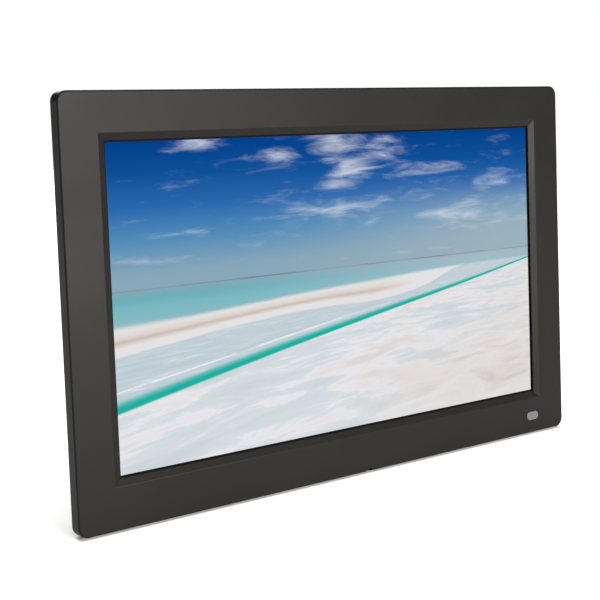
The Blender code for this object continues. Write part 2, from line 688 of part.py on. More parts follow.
def key_layout():
    """name: (x, z from the middle of the keys, width, height, corner radius)."""
    step = KEY_STEP
    return {
        "button_up": (0, step, KEY_W, KEY_H, KEY_R),
        "button_down": (0, -step, KEY_W, KEY_H, KEY_R),
        "button_left": (-step, 0, KEY_W, KEY_H, KEY_R),
        "button_right": (step, 0, KEY_W, KEY_H, KEY_R),
        "button_ok": (0, 0, 2 * OK_R, 2 * OK_R, OK_R * 0.98),
        "button_menu": (-step * 0.6, -2 * step, WIDE_KEY_W, WIDE_KEY_H, WIDE_KEY_H * 0.45),
        "button_exit": (step * 0.6, -2 * step, WIDE_KEY_W, WIDE_KEY_H, WIDE_KEY_H * 0.45),
    }


def make_keys(model):
    cap_y = FRAME_DEPTH + KEY_PROUD
    for name, (x, z, width, height, radius) in key_layout().items():
        rim = KEY_RIM
        bm = bmesh.new()
        add_round_box(
            bm, (-width / 2 - rim, 0, -height / 2 - rim),
            (width / 2 + rim, KEY_RIM_T, height / 2 + rim), radius + rim, segments=4,
        )
        raise_face(bm, facing(bm, (0, 1, 0)), rim, cap_y - KEY_BASE_Y - KEY_RIM_T)
        model.piece(name, bm, "button_plastic", (KEYS_X + x, KEY_BASE_Y, KEYS_Z + z))
    bm = bmesh.new()
    add_box(
        bm, (-KEY_BOARD_W / 2, 0, -KEY_BOARD_H / 2), (KEY_BOARD_W / 2, KEY_BOARD_T, KEY_BOARD_H / 2)
    )
    board = model.piece("key_board", bm, "green_laminate", (KEYS_X, KEY_BOARD_Y, KEY_BOARD_Z))
    bm = bmesh.new()
    for x, z in key_posts():
        add_rod_y(
            bm, x - KEYS_X, z - KEY_BOARD_Z, -CUT, KEY_BOARD_T + CUT, POST_HOLE_R, 10
        )
    model.cut(board, bm, "key_board_holes")


def key_posts():
    half_w, half_h = KEY_BOARD_W / 2 - KEY_POST_IN, KEY_BOARD_H / 2 - KEY_POST_IN
    return [(KEYS_X - half_w, KEY_BOARD_Z + half_h), (KEYS_X + half_w, KEY_BOARD_Z + half_h)]


# Speakers, wires and ribbons

def make_speakers(model):
    for side, name in ((-1, "speaker_left"), (1, "speaker_right")):
        bm = bmesh.new()
        half = Vector((SPEAKER_W / 2, 0, SPEAKER_H / 2))
        add_round_box(bm, Vector((0, -SPEAKER_T, 0)) - half, half, SPEAKER_R)
        raise_face(bm, facing(bm, (0, -1, 0)), CONE_INSET, CONE_RISE)
        model.piece(name, bm, "chip_black", (side * SPEAKER_X, INNER_BACK - GAP, SPEAKER_Z))


def smooth_route(corners, per_span=5):
    """Points along a Catmull-Rom curve through the corners."""
    padded = [corners[0], *corners, corners[-1]]
    points = []
    for i in range(len(corners) - 1):
        a, b, c, d = (Vector(point) for point in padded[i:i + 4])
        for step in range(per_span):
            t = step / per_span
            points.append(
                b + (c - a) * (t / 2) + (2 * a - 5 * b + 4 * c - d) * (t * t / 2)
                + (3 * b - a - 3 * c + d) * (t ** 3 / 2)
            )
    points.append(Vector(corners[-1]))
    return points


def make_wire(model, name, corners, radius):
    points = smooth_route(corners)
    curve = bpy.data.curves.new(name, "CURVE")
    curve.dimensions = "3D"
    curve.bevel_depth = radius
    curve.bevel_resolution = 1
    curve.use_fill_caps = True
    spline = curve.splines.new("POLY")
    spline.points.add(len(points) - 1)
    for target, point in zip(spline.points, points):
        target.co = (*point, 1)
    curve.materials.append(finish_named("wire_sheath"))
    wire = bpy.data.objects.new(name, curve)
    wire.parent = model.root
    model.parts.objects.link(wire)


def make_wires(model):
    clear = BOARD_BACK + 1.4 * MM
    free_y = (DRIVER_Y + DRIVER_T + RECESS_Y - WALL) / 2
    board_low = BOARD_Z0
    wire_r = 0.7 * MM
    in_right = SPEAKER_X - SPEAKER_W / 2 - wire_r - GAP
    in_left = -in_right
    make_wire(model, "speaker_wire_left", [
        (in_left, INNER_BACK - 5 * MM, SPEAKER_Z), (in_left + 6 * MM, free_y, SPEAKER_Z + 4 * MM),
        (in_left + 18 * MM, free_y, SPEAKER_Z + 10 * MM),
        (RECESS_X0 / 2, free_y, SPEAKER_Z + 22 * MM), (0, free_y, board_low + 8 * MM),
        (BOARD_X0 - 10 * MM, free_y + 1 * MM, board_low + 13 * MM),
        (BOARD_X0 - 3 * MM, clear + 1 * MM, board_low + 14 * MM),
        (BOARD_X0 + 5 * MM, clear, board_low + 14 * MM),
    ], wire_r)
    make_wire(model, "speaker_wire_right", [
        (in_right, INNER_BACK - 5 * MM, SPEAKER_Z),
        (in_right - 8 * MM, INNER_BACK - 6 * MM, SPEAKER_Z + 8 * MM),
        (in_right - 12 * MM, clear + 1 * MM, board_low - 4 * MM),
        (in_right - 12 * MM, clear, board_low + 4 * MM),
    ], wire_r)
    ir_x = HALF_W - IR_FROM_SIDE
    ir_y = FACE + GAP + IR_RIM_T + 3 * GAP + IR_BODY + IR_BOARD_T + wire_r
    make_wire(model, "ir_wire", [
        (ir_x, ir_y, IR_FROM_BOTTOM + 3 * MM), (ir_x - 3 * MM, ir_y + 1 * MM, IR_FROM_BOTTOM + 16 * MM),
        (PORT_X - 10 * MM, BOARD_Y - 1.6 * MM, board_low - 8 * MM),
        (PORT_X - 12 * MM, BOARD_Y - 1.2 * MM, board_low + 6 * MM),
    ], wire_r)


def make_ribbon(model, name, path, offset, width, along):
    """A flat cable: an open path swept square to itself, then given its thickness."""
    bm = bmesh.new()
    verts = [bm.verts.new(point) for point in path]
    edges = [bm.edges.new(pair) for pair in zip(verts, verts[1:])]
    swept = bmesh.ops.extrude_edge_only(bm, edges=edges)["geom"]
    step = Vector((width, 0, 0)) if along == "X" else Vector((0, 0, width))
    bmesh.ops.translate(bm, vec=step, verts=[v for v in swept if isinstance(v, bmesh.types.BMVert)])
    ribbon = model.piece(name, bm, "ribbon_white", offset)
    skin = ribbon.modifiers.new("thickness", "SOLIDIFY")
    skin.thickness = 0.25 * MM
    skin.offset = 0
    skin.use_even_offset = True


def make_ribbons(model):
    driver_top = MID_Z - MODULE_HALF_H + DRIVER_RISE + DRIVER_H
    low_y, high_y = DRIVER_Y + DRIVER_T + 0.5 * MM, BOARD_Y - 0.5 * MM
    rise = BOARD_Z0 - driver_top
    make_ribbon(model, "lcd_flex", [
        (0, low_y, driver_top - 8 * MM), (0, low_y, driver_top + rise * 0.15),
        (0, high_y, driver_top + rise * 0.7), (0, high_y, BOARD_Z0 + 12 * MM),
    ], (BOARD_X0 + 14 * MM, 0, 0), 20 * MM, "X")
    key_y = KEY_BOARD_Y - 0.5 * MM
    low_x, high_x = KEYS_X + KEY_BOARD_W / 2, BOARD_X0
    end_y = BOARD_BACK + 0.6 * MM
    make_ribbon(model, "key_flex", [
        (low_x - 6 * MM, key_y, 0), (low_x + 3 * MM, key_y, 0), (low_x + 9 * MM, BOARD_Y + 1 * MM, 0),
        (high_x - 12 * MM, BOARD_Y + 1 * MM, 0), (high_x - 5 * MM, end_y, 0), (high_x + 8 * MM, end_y, 0),
    ], (0, 0, BOARD_Z0 + 52 * MM), 8 * MM, "Z")


# Rear cover

def cover_solid(bm, inset, front_y):
    """The tray-shaped outside of the rear cover, or its inside when inset by the wall."""
    edge = cover_edge(front_y) + inset
    back_edge = SLOPE_INSET + inset
    verts = add_taper(
        bm,
        (front_y, edge - HALF_W, RIM_INSET + inset, HALF_W - edge, HEIGHT - edge),
        (FRAME_DEPTH - inset, back_edge - HALF_W, BOTTOM_INSET + inset,
         HALF_W - back_edge, HEIGHT - back_edge),
    )
    sloping = [
        edge for edge in {edge for vert in verts for edge in vert.link_edges}
        if abs(edge.verts[0].co.y - edge.verts[1].co.y) > 1e-4
    ]
    bmesh.ops.bevel(
        bm, geom=sloping, offset=COVER_R - inset, segments=3, profile=0.5, affect="EDGES"
    )


def make_rear_cover(model):
    bm = bmesh.new()
    cover_solid(bm, 0, RIM_Y)
    back_outline = list(facing(bm, (0, 1, 0)).edges)
    bmesh.ops.bevel(bm, geom=back_outline, offset=1.5 * MM, segments=2, profile=0.5, affect="EDGES")
    cover = model.piece("rear_cover", bm, "rear_abs")

    side = WALL + GAP
    bm = bmesh.new()
    add_round_box(
        bm, (side - HALF_W, RIM_Y - TONGUE_L, side), (HALF_W - side, RIM_Y + CUT, HEIGHT - side),
        CORNER_R - side,
    )
    model.join(cover, bm, "cover_tongue")

    inside = bmesh.new()
    cover_solid(inside, WALL, RIM_Y - CUT / 2)
    hollow = model.cut(cover, inside, "cover_inside")
    leave_bosses(model, hollow)

    inner = side + TONGUE_T
    bm = bmesh.new()
    add_round_box(
        bm, (inner - HALF_W, RIM_Y - TONGUE_L - CUT, inner), (HALF_W - inner, RIM_Y, HEIGHT - inner),
        CORNER_R - side,
    )
    model.cut(cover, bm, "tongue_inside")
    cut_cover_recesses(model, cover)
    cut_cover_holes(model, cover)


def leave_bosses(model, hollow):
    """Takes the screw bosses, posts and the walls of both recesses out of the hollow's cutter."""
    far = FRAME_DEPTH + CUT
    kept = bmesh.new()
    for x, z in case_screw_spots():
        add_rod_y(kept, x, z, CASE_SEAT_Y, far, BOSS_R + 1 * MM, 14)
    for x, z in board_posts():
        add_rod_y(kept, x, z, BOARD_BACK + GAP, far, POST_R, 12)
    for x, z in key_posts():
        add_rod_y(kept, x, z, KEY_BOARD_Y + KEY_BOARD_T + GAP, far, POST_R, 12)
    add_box(
        kept, (RECESS_X0 - WALL, RECESS_Y - WALL, 0), (RECESS_X1 + WALL, far, RECESS_TOP + WALL)
    )
    add_box(
        kept, (PORT_X - PORT_WALL, POCKET_FLOOR - WALL, POCKET_Z - WALL),
        (HALF_W, far, POCKET_Z + POCKET_H + WALL),
    )
    model.cut(hollow, kept, "kept_bosses")
    hinge = bmesh.new()
    half = HINGE_BLOCK_W / 2
    add_box(hinge, (-half, RECESS_Y - WALL / 2, RECESS_TOP), (half, far, RECESS_TOP + HINGE_BLOCK_H))
    model.cut(hollow, hinge, "kept_hinge_block")


def cut_cover_recesses(model, cover):
    far = FRAME_DEPTH + CUT
    low = LEG_BOTTOM - 0.6 * MM
    bm = bmesh.new()
    add_box(bm, (RECESS_X0, RECESS_Y, low), (RECESS_X1, far, RECESS_TOP))
    model.cut(cover, bm, "stand_recess")
    pad_x = LEG_REACH - PAD_IN  # the stowed pad's outer end
    bm = bmesh.new()
    add_box(
        bm, (-pad_x - 2 * MM, RECESS_Y, floor_z(TIP_Y) - 3 * MM),
        (-(pad_x - PAD_L) + 3 * MM, far, low + CUT),
    )
    model.cut(cover, bm, "pad_recess")
    bm = bmesh.new()
    add_box(
        bm, (PORT_X, POCKET_FLOOR, POCKET_Z), (HALF_W + CUT, far, POCKET_Z + POCKET_H)
    )
    model.cut(cover, bm, "port_pocket")


def cut_cover_holes(model, cover):
    far = FRAME_DEPTH + CUT
    holes, wells = bmesh.new(), bmesh.new()
    for x, z in case_screw_spots():
        add_rod_y(holes, x, z, CASE_SEAT_Y - CUT, CASE_SEAT_Y + CASE_SEAT + CUT, SCREW_HOLE_R, 12)
        add_rod_y(wells, x, z, CASE_SEAT_Y + CASE_SEAT, far, HEAD_R + GAP, 14)
    for x, z in board_posts()[:2]:
        add_rod_y(holes, x, z, BOARD_BACK, BOARD_BACK + SHORT_SCREW_L, PILOT_R, 12)
    add_rod(holes, (0, LEG_Y, 0), (0, LEG_Y, RECESS_TOP + PIN_IN + GAP), PIN_R + PIN_CLEAR, 16)
    for name in PORTS:
        cut_port_hole(holes, name)
    for x, z, width, height, radius in key_layout().values():
        centre = Vector((KEYS_X + x, 0, KEYS_Z + z))
        half = Vector((width / 2 + RUN, 0, height / 2 + RUN))
        add_round_box(
            holes, centre - half + Vector((0, INNER_BACK - CUT, 0)), centre + half + Vector((0, far, 0)),
            radius, segments=4,
        )
    cut_slots(holes)
    model.cut(cover, wells, "screw_wells")
    model.cut(cover, holes, "cover_holes")
    slots = bmesh.new()
    for side in (-1, 1):
        x = side * KEYHOLE_X
        add_box(
            slots, (x - KEYHOLE_SLOT / 2, INNER_BACK - CUT, KEYHOLE_Z),
            (x + KEYHOLE_SLOT / 2, far, KEYHOLE_Z + KEYHOLE_RISE),
        )
    model.cut(cover, slots, "keyhole_slots")


def cut_port_hole(bm, name):
    low, high = port_box(name)
    if name == "power_switch":
        centre = (low + high) / 2
        half = Vector((0, KNOB_H / 2, (KNOB_L + SWITCH_TRAVEL) / 2))
        low, high = centre - half, centre + half
    margin = Vector((0, RUN, RUN))
    low, high = low - margin, high + margin
    add_box(bm, (PORT_X - PORT_WALL - CUT, low.y, low.z), (PORT_X + CUT, high.y, high.z))


def cut_slots(bm):
    """Air slots behind the main board, sound slots over the speakers and the keyholes' round parts."""
    low, far = INNER_BACK - CUT, FRAME_DEPTH + CUT
    vent_z = BOARD_Z0 + VENT_RISE
    vent_x = BOARD_X0 + 14 * MM
    for i in range(VENTS):
        x = vent_x + i * VENT_PITCH
        add_box(bm, (x, low, vent_z), (x + VENT_W, far, vent_z + VENT_L))
    for side in (-1, 1):
        for i in range(GRILLE_SLOTS):
            z = SPEAKER_Z + (i - (GRILLE_SLOTS - 1) / 2) * GRILLE_PITCH
            x = side * SPEAKER_X
            add_box(
                bm, (x - GRILLE_L / 2, low, z - GRILLE_W / 2), (x + GRILLE_L / 2, far, z + GRILLE_W / 2)
            )
        add_rod_y(bm, side * KEYHOLE_X, KEYHOLE_Z, low, far, KEYHOLE_R, 20)


# Stand and feet

def leg_outline():
    """The leg seen from the side: (distance from its axis, height), counter-clockwise."""
    base, tip, top = LEG_BOTTOM, LEG_BOTTOM + LEG_TIP_H, LEG_TOP
    heel = -LEG_T / 2
    return [(heel, base), (LEG_REACH, base), (LEG_REACH, tip), (LEG_KNEE, top), (heel, top)]


def make_stand_leg(model):
    axis = bpy.data.objects.new("stand_leg_axis", None)
    axis.location = (0, LEG_Y, 0)
    axis.parent = model.root
    model.parts.objects.link(axis)

    bm = bmesh.new()
    flat = bm.faces.new([bm.verts.new((-LEG_T / 2, reach, height)) for reach, height in leg_outline()])
    pulled = bmesh.ops.extrude_face_region(bm, geom=[flat])["geom"]
    moved = [item for item in pulled if isinstance(item, bmesh.types.BMVert)]
    bmesh.ops.translate(bm, vec=(LEG_T, 0, 0), verts=moved)
    outer = [edge for edge in edges_along(bm.verts, "X") if edge.verts[0].co.y > CUT]
    bmesh.ops.bevel(bm, geom=outer, offset=LEG_CORNER_R, segments=4, profile=0.5, affect="EDGES")
    heel = [edge for edge in edges_along(bm.verts, "Z") if edge.verts[0].co.y < 0]
    bmesh.ops.bevel(bm, geom=heel, offset=LEG_T * 0.48, segments=5, profile=0.5, affect="EDGES")
    leg = model.piece("stand_leg", bm, "rear_abs", parent=axis)
    bm = bmesh.new()
    add_rod(bm, (0, 0, 0), (0, 0, LEG_TOP + CUT), PIN_R + PIN_CLEAR, 16)
    model.cut(leg, bm, "leg_bore")

    bm = bmesh.new()
    add_rod(bm, (0, 0, BOTTOM_INSET + 1 * MM), (0, 0, RECESS_TOP + PIN_IN), PIN_R, 16)
    model.piece("stand_hinge_pin", bm, "steel_sheet", (0, LEG_Y, 0))
    add_pad(
        model, "stand_pad", (0, LEG_REACH - PAD_IN - PAD_L, LEG_REACH - PAD_IN),
        LEG_T / 2 - 0.4 * MM, LEG_BOTTOM - GAP, axis,
    )


def add_pad(model, name, place, half_width, top, parent=None):
    """A rubber block whose underside lies on the floor: place is (x, nearest y, furthest y)."""
    x, near, far = place
    start = parent.location.y if parent else 0
    bm = bmesh.new()
    verts = add_box(bm, (-half_width, near, top - 1 * MM), (half_width, far, top))
    for vert in verts:
        if vert.co.z < top - 0.5 * MM:
            vert.co.z = floor_z(vert.co.y + start)
    model.piece(name, bm, "soft_rubber", (x, 0, 0), parent)


def make_feet(model):
    for side, name in ((-1, "foot_left"), (1, "foot_right")):
        place = (side * FOOT_X, FOOT_Y, FOOT_Y + FOOT_L)
        add_pad(model, name, place, FOOT_W / 2, FOOT_SEAT - GAP)


def main():
    clear_scene()
    model = Model()
    make_front_bezel(model)
    make_ir_receiver(model)
    make_display(model)
    make_main_board(model)
    make_ports(model)
    make_keys(model)
    make_speakers(model)
    make_wires(model)
    make_ribbons(model)
    make_rear_cover(model)
    make_stand_leg(model)
    make_feet(model)
    make_screws(model)


main()
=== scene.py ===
"""Looks of a digital photo frame: one operator for each group of pieces, run in order as a script."""

import json
import math

import bmesh
import bpy
from bpy.props import FloatProperty, FloatVectorProperty, PointerProperty
from mathutils import Matrix, Vector


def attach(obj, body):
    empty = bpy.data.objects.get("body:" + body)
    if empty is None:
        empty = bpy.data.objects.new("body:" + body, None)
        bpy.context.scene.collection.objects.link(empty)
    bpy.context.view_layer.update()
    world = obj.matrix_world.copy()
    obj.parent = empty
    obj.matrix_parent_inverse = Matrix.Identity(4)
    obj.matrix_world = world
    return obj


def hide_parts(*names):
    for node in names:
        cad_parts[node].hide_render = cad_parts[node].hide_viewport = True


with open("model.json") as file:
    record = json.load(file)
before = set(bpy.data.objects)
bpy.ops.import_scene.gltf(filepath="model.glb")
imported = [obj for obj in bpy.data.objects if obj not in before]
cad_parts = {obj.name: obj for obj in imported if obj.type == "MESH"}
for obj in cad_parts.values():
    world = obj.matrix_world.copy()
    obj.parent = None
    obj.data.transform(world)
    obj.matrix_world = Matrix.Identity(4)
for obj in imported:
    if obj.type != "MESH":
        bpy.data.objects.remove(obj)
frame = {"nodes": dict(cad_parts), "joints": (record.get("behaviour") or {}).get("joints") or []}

bl_info = {
    "name": "Digital Photo Frame",
    "version": (1, 0, 0),
    "blender": (4, 5, 0),
    "location": "3D View > Sidebar > Photo Frame",
    "description": "Builds the visible pieces and finishes of a digital photo frame on its CAD frame",
    "category": "Object",
}

MM = 0.001
CUT = 1 * MM  # how far a cutter runs past the face that it cuts
MERGE = 0.002 * MM  # vertices of a CAD node that are closer than this become one
LEVEL = 0.01 * MM  # two heights closer than this are the same
PARALLEL = 1e-7  # an edge whose ends differ by less than this across an axis runs along it
FLAT_ANGLE = math.radians(0.5)  # faces of a CAD node that turn less than this become one
SMOOTH_ANGLE = math.radians(32)  # an edge that turns more than this stays sharp
SLOPE_ANGLE = math.radians(20)  # the same on the bezel, so that its window's slope stays crisp
NODES = frame["nodes"]
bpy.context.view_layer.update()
FIXED = "frame_body"


def frame_axes():
    """The frame's own axes: X right, Y into the frame from its front face, Z up along its face."""
    swing = next(joint for joint in frame["joints"] if joint["name"] == "stand_swing")
    up = Vector(swing["axis"]).normalized()
    right = Vector((1, 0, 0))
    turn = Matrix((right, up.cross(right), up))
    places = [turn @ vert.co for vert in NODES["front_bezel"].data.vertices]
    corner = Vector((0, min(place.y for place in places), min(place.z for place in places)))
    back = turn.transposed()
    return Matrix.Translation(back @ corner) @ back.to_4x4()


AXES = frame_axes()
TO_OWN = AXES.inverted()


def own_box(name):
    """Lowest and highest corners of a CAD node in the frame's own axes."""
    places = [TO_OWN @ vert.co for vert in NODES[name].data.vertices]
    low = Vector([min(place[i] for place in places) for i in range(3)])
    high = Vector([max(place[i] for place in places) for i in range(3)])
    return low, high


def hex_colour(code):
    """An sRGB hex colour as linear red, green and blue."""
    channels = [int(code[i:i + 2], 16) / 255 for i in (0, 2, 4)]
    return tuple(c / 12.92 if c <= 0.04045 else ((c + 0.055) / 1.055) ** 2.4 for c in channels)


def per(size_mm):
    """A pattern's scale on object coordinates, from its feature size in millimetres."""
    return 1 / (size_mm * MM)


# Sizes and colours

class FrameSizes(bpy.types.PropertyGroup):
    picture_width: FloatProperty(
        name="Picture Width", description="Width of the lit picture",
        default=293.8 * MM, min=0.05, unit="LENGTH",
    )
    picture_height: FloatProperty(
        name="Picture Height", description="Height of the lit picture",
        default=165.2 * MM, min=0.05, unit="LENGTH",
    )
    border_bottom: FloatProperty(
        name="Bottom Border", description="From the frame's bottom edge up to the picture",
        default=26.8 * MM, min=0.005, unit="LENGTH",
    )
    shell_depth: FloatProperty(
        name="Bezel Depth", description="Depth of the bezel's side walls",
        default=7.4 * MM, min=0.002, unit="LENGTH",
    )
    face: FloatProperty(
        name="Face Thickness", description="Thickness of the bezel behind its front face",
        default=2 * MM, min=0.001, unit="LENGTH",
    )
    wall: FloatProperty(
        name="Wall Thickness", description="Thickness of the bezel's side walls",
        default=2.2 * MM, min=0.001, unit="LENGTH",
    )
    corner_radius: FloatProperty(
        name="Corner Radius", description="Radius of the bezel's corners, seen from the front",
        default=5.4 * MM, min=0, unit="LENGTH",
    )
    edge_radius: FloatProperty(
        name="Edge Radius", description="Rounding between the front face and the sides",
        default=1 * MM, min=0, unit="LENGTH",
    )
    margin: FloatProperty(
        name="Dark Margin", description="Unlit rim between the picture and the window's edge",
        default=1 * MM, min=0, unit="LENGTH",
    )
    chamfer: FloatProperty(
        name="Chamfer Width", description="Width of the slope round the window",
        default=3.8 * MM, min=0, unit="LENGTH",
    )
    chamfer_depth: FloatProperty(
        name="Chamfer Depth", description="Depth of the slope round the window",
        default=1.7 * MM, min=0, unit="LENGTH",
    )
    key_crown: FloatProperty(
        name="Key Crown", description="How far a key's top rises in its middle",
        default=0.25 * MM, min=0, unit="LENGTH",
    )


class FrameColours(bpy.types.PropertyGroup):
    bezel: FloatVectorProperty(
        name="Bezel", description="Colour of the front bezel's plastic",
        default=hex_colour("151413"), subtype="COLOR", size=3, min=0, max=1,
    )
    rear: FloatVectorProperty(
        name="Rear Cover", description="Colour of the rear cover and the stand's leg",
        default=hex_colour("2B2A29"), subtype="COLOR", size=3, min=0, max=1,
    )
    keys: FloatVectorProperty(
        name="Keys", description="Colour of the keys and of the power switch's knob",
        default=hex_colour("3A3A3C"), subtype="COLOR", size=3, min=0, max=1,
    )
    window: FloatVectorProperty(
        name="Receiver Window", description="Colour of the remote control's window",
        default=hex_colour("45474C"), subtype="COLOR", size=3, min=0, max=1,
    )
    floor: FloatVectorProperty(
        name="Floor", description="Colour of the studio floor",
        default=hex_colour("F7F7F6"), subtype="COLOR", size=3, min=0, max=1,
    )


# Nodes and finishes

MIX_COLOURS = {"data_type": "RGBA"}
FACTOR, FIRST, SECOND, MIXED = 0, 6, 7, 2  # the sockets of a Mix node that mixes colours
SMOOTHSTEP = {"interpolation_type": "SMOOTHSTEP"}
MINUS, TIMES, OVER = {"operation": "SUBTRACT"}, {"operation": "MULTIPLY"}, {"operation": "DIVIDE"}


def add_node(tree, kind, settings=None, inputs=None, feeds=None, stops=(), points=()):
    """Adds a shader node with its properties, its inputs' values or links, the sockets that its
    outputs feed, a colour ramp's stops (position, sRGB hex) and a curve's points. A node among
    the inputs stands for its first output, or for a Mix node's colour."""
    node = tree.nodes.new("ShaderNode" + kind)
    for name, value in (settings or {}).items():
        setattr(node, name, value)
    for name, value in (inputs or {}).items():
        if isinstance(value, bpy.types.Node):
            value = value.outputs[MIXED if value.type == "MIX" else 0]
        if isinstance(value, bpy.types.NodeSocket):
            tree.links.new(value, node.inputs[name])
        else:
            node.inputs[name].default_value = value
    for name, socket in (feeds or {}).items():
        tree.links.new(node.outputs[name], socket)
    for number, (position, code) in enumerate(stops):
        if number >= len(node.color_ramp.elements):
            node.color_ramp.elements.new(1.0)
        stop = node.color_ramp.elements[number]
        stop.position = position
        stop.color = (*hex_colour(code), 1)
    if points:
        curve = node.mapping.curves[0]
        for number, place in enumerate(points):
            if number >= len(curve.points):
                curve.points.new(1.0, 1.0)
            curve.points[number].location = place
        node.mapping.update()
    return node


def new_finish(name, colour, roughness, **sockets):
    """A material whose shader has this colour and roughness; underscores in sockets stand for spaces."""
    finish = bpy.data.materials.new(name)
    finish.use_nodes = True
    shader = finish.node_tree.nodes["Principled BSDF"]
    shader.inputs["Base Color"].default_value = (*colour, 1)
    shader.inputs["Roughness"].default_value = roughness
    for socket, value in sockets.items():
        shader.inputs[socket.replace("_", " ")].default_value = value
    return finish, finish.node_tree, shader


def shaded(colour, amount):
    """A darker or lighter colour, as a shader's socket takes it."""
    return (*(channel * amount for channel in colour), 1)


def moulded_plastic(name, colour, roughness, grain_mm, depth_mm, tone, shine):
    """Injection-moulded plastic: an even colour, a fine grain from the mould and slightly uneven gloss.
    A mould's grain is 0.1 to 0.3 mm; each finish draws it two or more times coarser, so that it shows."""
    finish, tree, shader = new_finish(name, colour, roughness, IOR=1.54, Specular_IOR_Level=shine)
    place = add_node(tree, "TexCoord").outputs["Object"]
    flow = add_node(tree, "TexNoise", None, {
        "Vector": place, "Scale": per(70), "Detail": 3.0, "Distortion": 0.6,
    })
    grain = add_node(tree, "TexNoise", None, {"Vector": place, "Scale": per(grain_mm), "Roughness": 0.6})
    add_node(tree, "Mix", MIX_COLOURS, {
        FACTOR: flow, FIRST: shaded(colour, 1 - tone), SECOND: shaded(colour, 1 + tone),
    }, {MIXED: shader.inputs["Base Color"]})
    add_node(tree, "MapRange", None, {
        "Value": flow, "From Min": 0.3, "From Max": 0.7,
        "To Min": roughness - 0.04, "To Max": roughness + 0.04,
    }, {0: shader.inputs["Roughness"]})
    add_node(tree, "Bump", None, {
        "Height": grain, "Strength": 0.5, "Distance": depth_mm * MM,
    }, {0: shader.inputs["Normal"]})
    return finish


def rolled_metal(name, colour, roughness, line_mm, stretch):
    """Rolled or plated metal: fine lines that streak its reflections, drawn coarser than the real
    ones of about 0.2 mm, so that they show. A stretch under 1 draws them out along that axis, and
    without one they are a fine mottle."""
    finish, tree, shader = new_finish(name, colour, roughness, Metallic=1.0)
    place = add_node(tree, "TexCoord").outputs["Object"]
    drawn = add_node(tree, "Mapping", None, {"Vector": place, "Scale": stretch})
    lines = add_node(tree, "TexNoise", None, {"Vector": drawn, "Scale": per(line_mm), "Detail": 3.0})
    add_node(tree, "Mix", MIX_COLOURS, {
        FACTOR: lines, FIRST: shaded(colour, 0.88), SECOND: shaded(colour, 1.06),
    }, {MIXED: shader.inputs["Base Color"]})
    add_node(tree, "MapRange", None, {
        "Value": lines, "To Min": roughness - 0.08, "To Max": roughness + 0.12,
    }, {0: shader.inputs["Roughness"]})
    return finish


def finish_node(node, finish):
    """Gives a CAD node, whose shape stays, one finish."""
    mesh = NODES[node].data
    mesh.materials.clear()
    mesh.materials.append(finish_named(finish))


# Pieces

def add_block(bm, low, high):
    low, high = Vector(low), Vector(high)
    place = Matrix.Translation((low + high) / 2) @ Matrix.Diagonal((*(high - low), 1))
    return bmesh.ops.create_cube(bm, size=1, matrix=place)["verts"]


def edges_along(verts, axis):
    """The edges between these vertices that run parallel to one axis."""
    others = [i for i in range(3) if i != "XYZ".index(axis)]
    edges = {edge for vert in verts for edge in vert.link_edges}
    return [
        edge for edge in edges
        if all(abs(edge.verts[0].co[i] - edge.verts[1].co[i]) < PARALLEL for i in others)
    ]


def round_edges(bm, edges, radius, segments):
    return bmesh.ops.bevel(
        bm, geom=list(edges), offset=radius, segments=segments, profile=0.5,
        affect="EDGES", material=-1,
    )["faces"]


def add_round_block(bm, low, high, radius, segments=8, along="Y"):
    verts = add_block(bm, low, high)
    round_edges(bm, edges_along(verts, along), radius, segments)


def add_rod(bm, start, end, radius, segments=32):
    start, end = Vector(start), Vector(end)
    turn = (end - start).to_track_quat("Z", "Y").to_matrix().to_4x4()
    return bmesh.ops.create_cone(
        bm, cap_ends=True, segments=segments, radius1=radius, radius2=radius,
        depth=(end - start).length, matrix=Matrix.Translation((start + end) / 2) @ turn,
    )["verts"]


def facing(bm, direction):
    """The face that points most nearly this way and lies furthest along it."""
    direction = Vector(direction)
    return max(
        bm.faces,
        key=lambda f: (round(f.normal.dot(direction), 3), f.calc_center_median().dot(direction)),
    )


def new_piece(name, bm):
    """An object from a closed bmesh, its faces turned outwards."""
    bmesh.ops.recalc_face_normals(bm, faces=bm.faces)
    mesh = bpy.data.meshes.new(name)
    bm.to_mesh(mesh)
    bm.free()
    piece = bpy.data.objects.new(name, mesh)
    bpy.context.scene.collection.objects.link(piece)
    return piece


def carve(piece, bm, operation="DIFFERENCE"):
    """Cuts a piece with a bmesh, or joins the bmesh to it."""
    tool = new_piece("tool", bm)
    step = piece.modifiers.new("carve", "BOOLEAN")
    step.operation = operation
    step.solver = "EXACT"
    step.object = tool
    graph = bpy.context.evaluated_depsgraph_get()
    made = bpy.data.meshes.new_from_object(piece.evaluated_get(graph), depsgraph=graph)
    if not made.vertices:
        raise RuntimeError(f"{piece.name} has nothing left after a cut")
    piece.modifiers.clear()
    piece.data = made
    bpy.data.objects.remove(tool)


def settle(piece, replaced, finishes, body=FIXED, edge=0.0, crisp=SMOOTH_ANGLE):
    """Puts a piece in its place, rounds its edges, gives it its finishes and body, and hides the CAD
    nodes that it replaces.
    """
    mesh = piece.data
    mesh.transform(AXES)
    mesh.shade_smooth()
    mesh.set_sharp_from_angle(angle=crisp)
    for finish in finishes:
        mesh.materials.append(finish_named(finish))
    if edge:
        rounding = piece.modifiers.new("rounding", "BEVEL")
        rounding.width = edge
        rounding.segments = 2
        rounding.limit_method = "ANGLE"
        rounding.angle_limit = crisp
    flats = piece.modifiers.new("flats", "WEIGHTED_NORMAL")
    flats.weight = 100
    flats.keep_sharp = True
    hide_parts(*replaced)
    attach(piece, body)


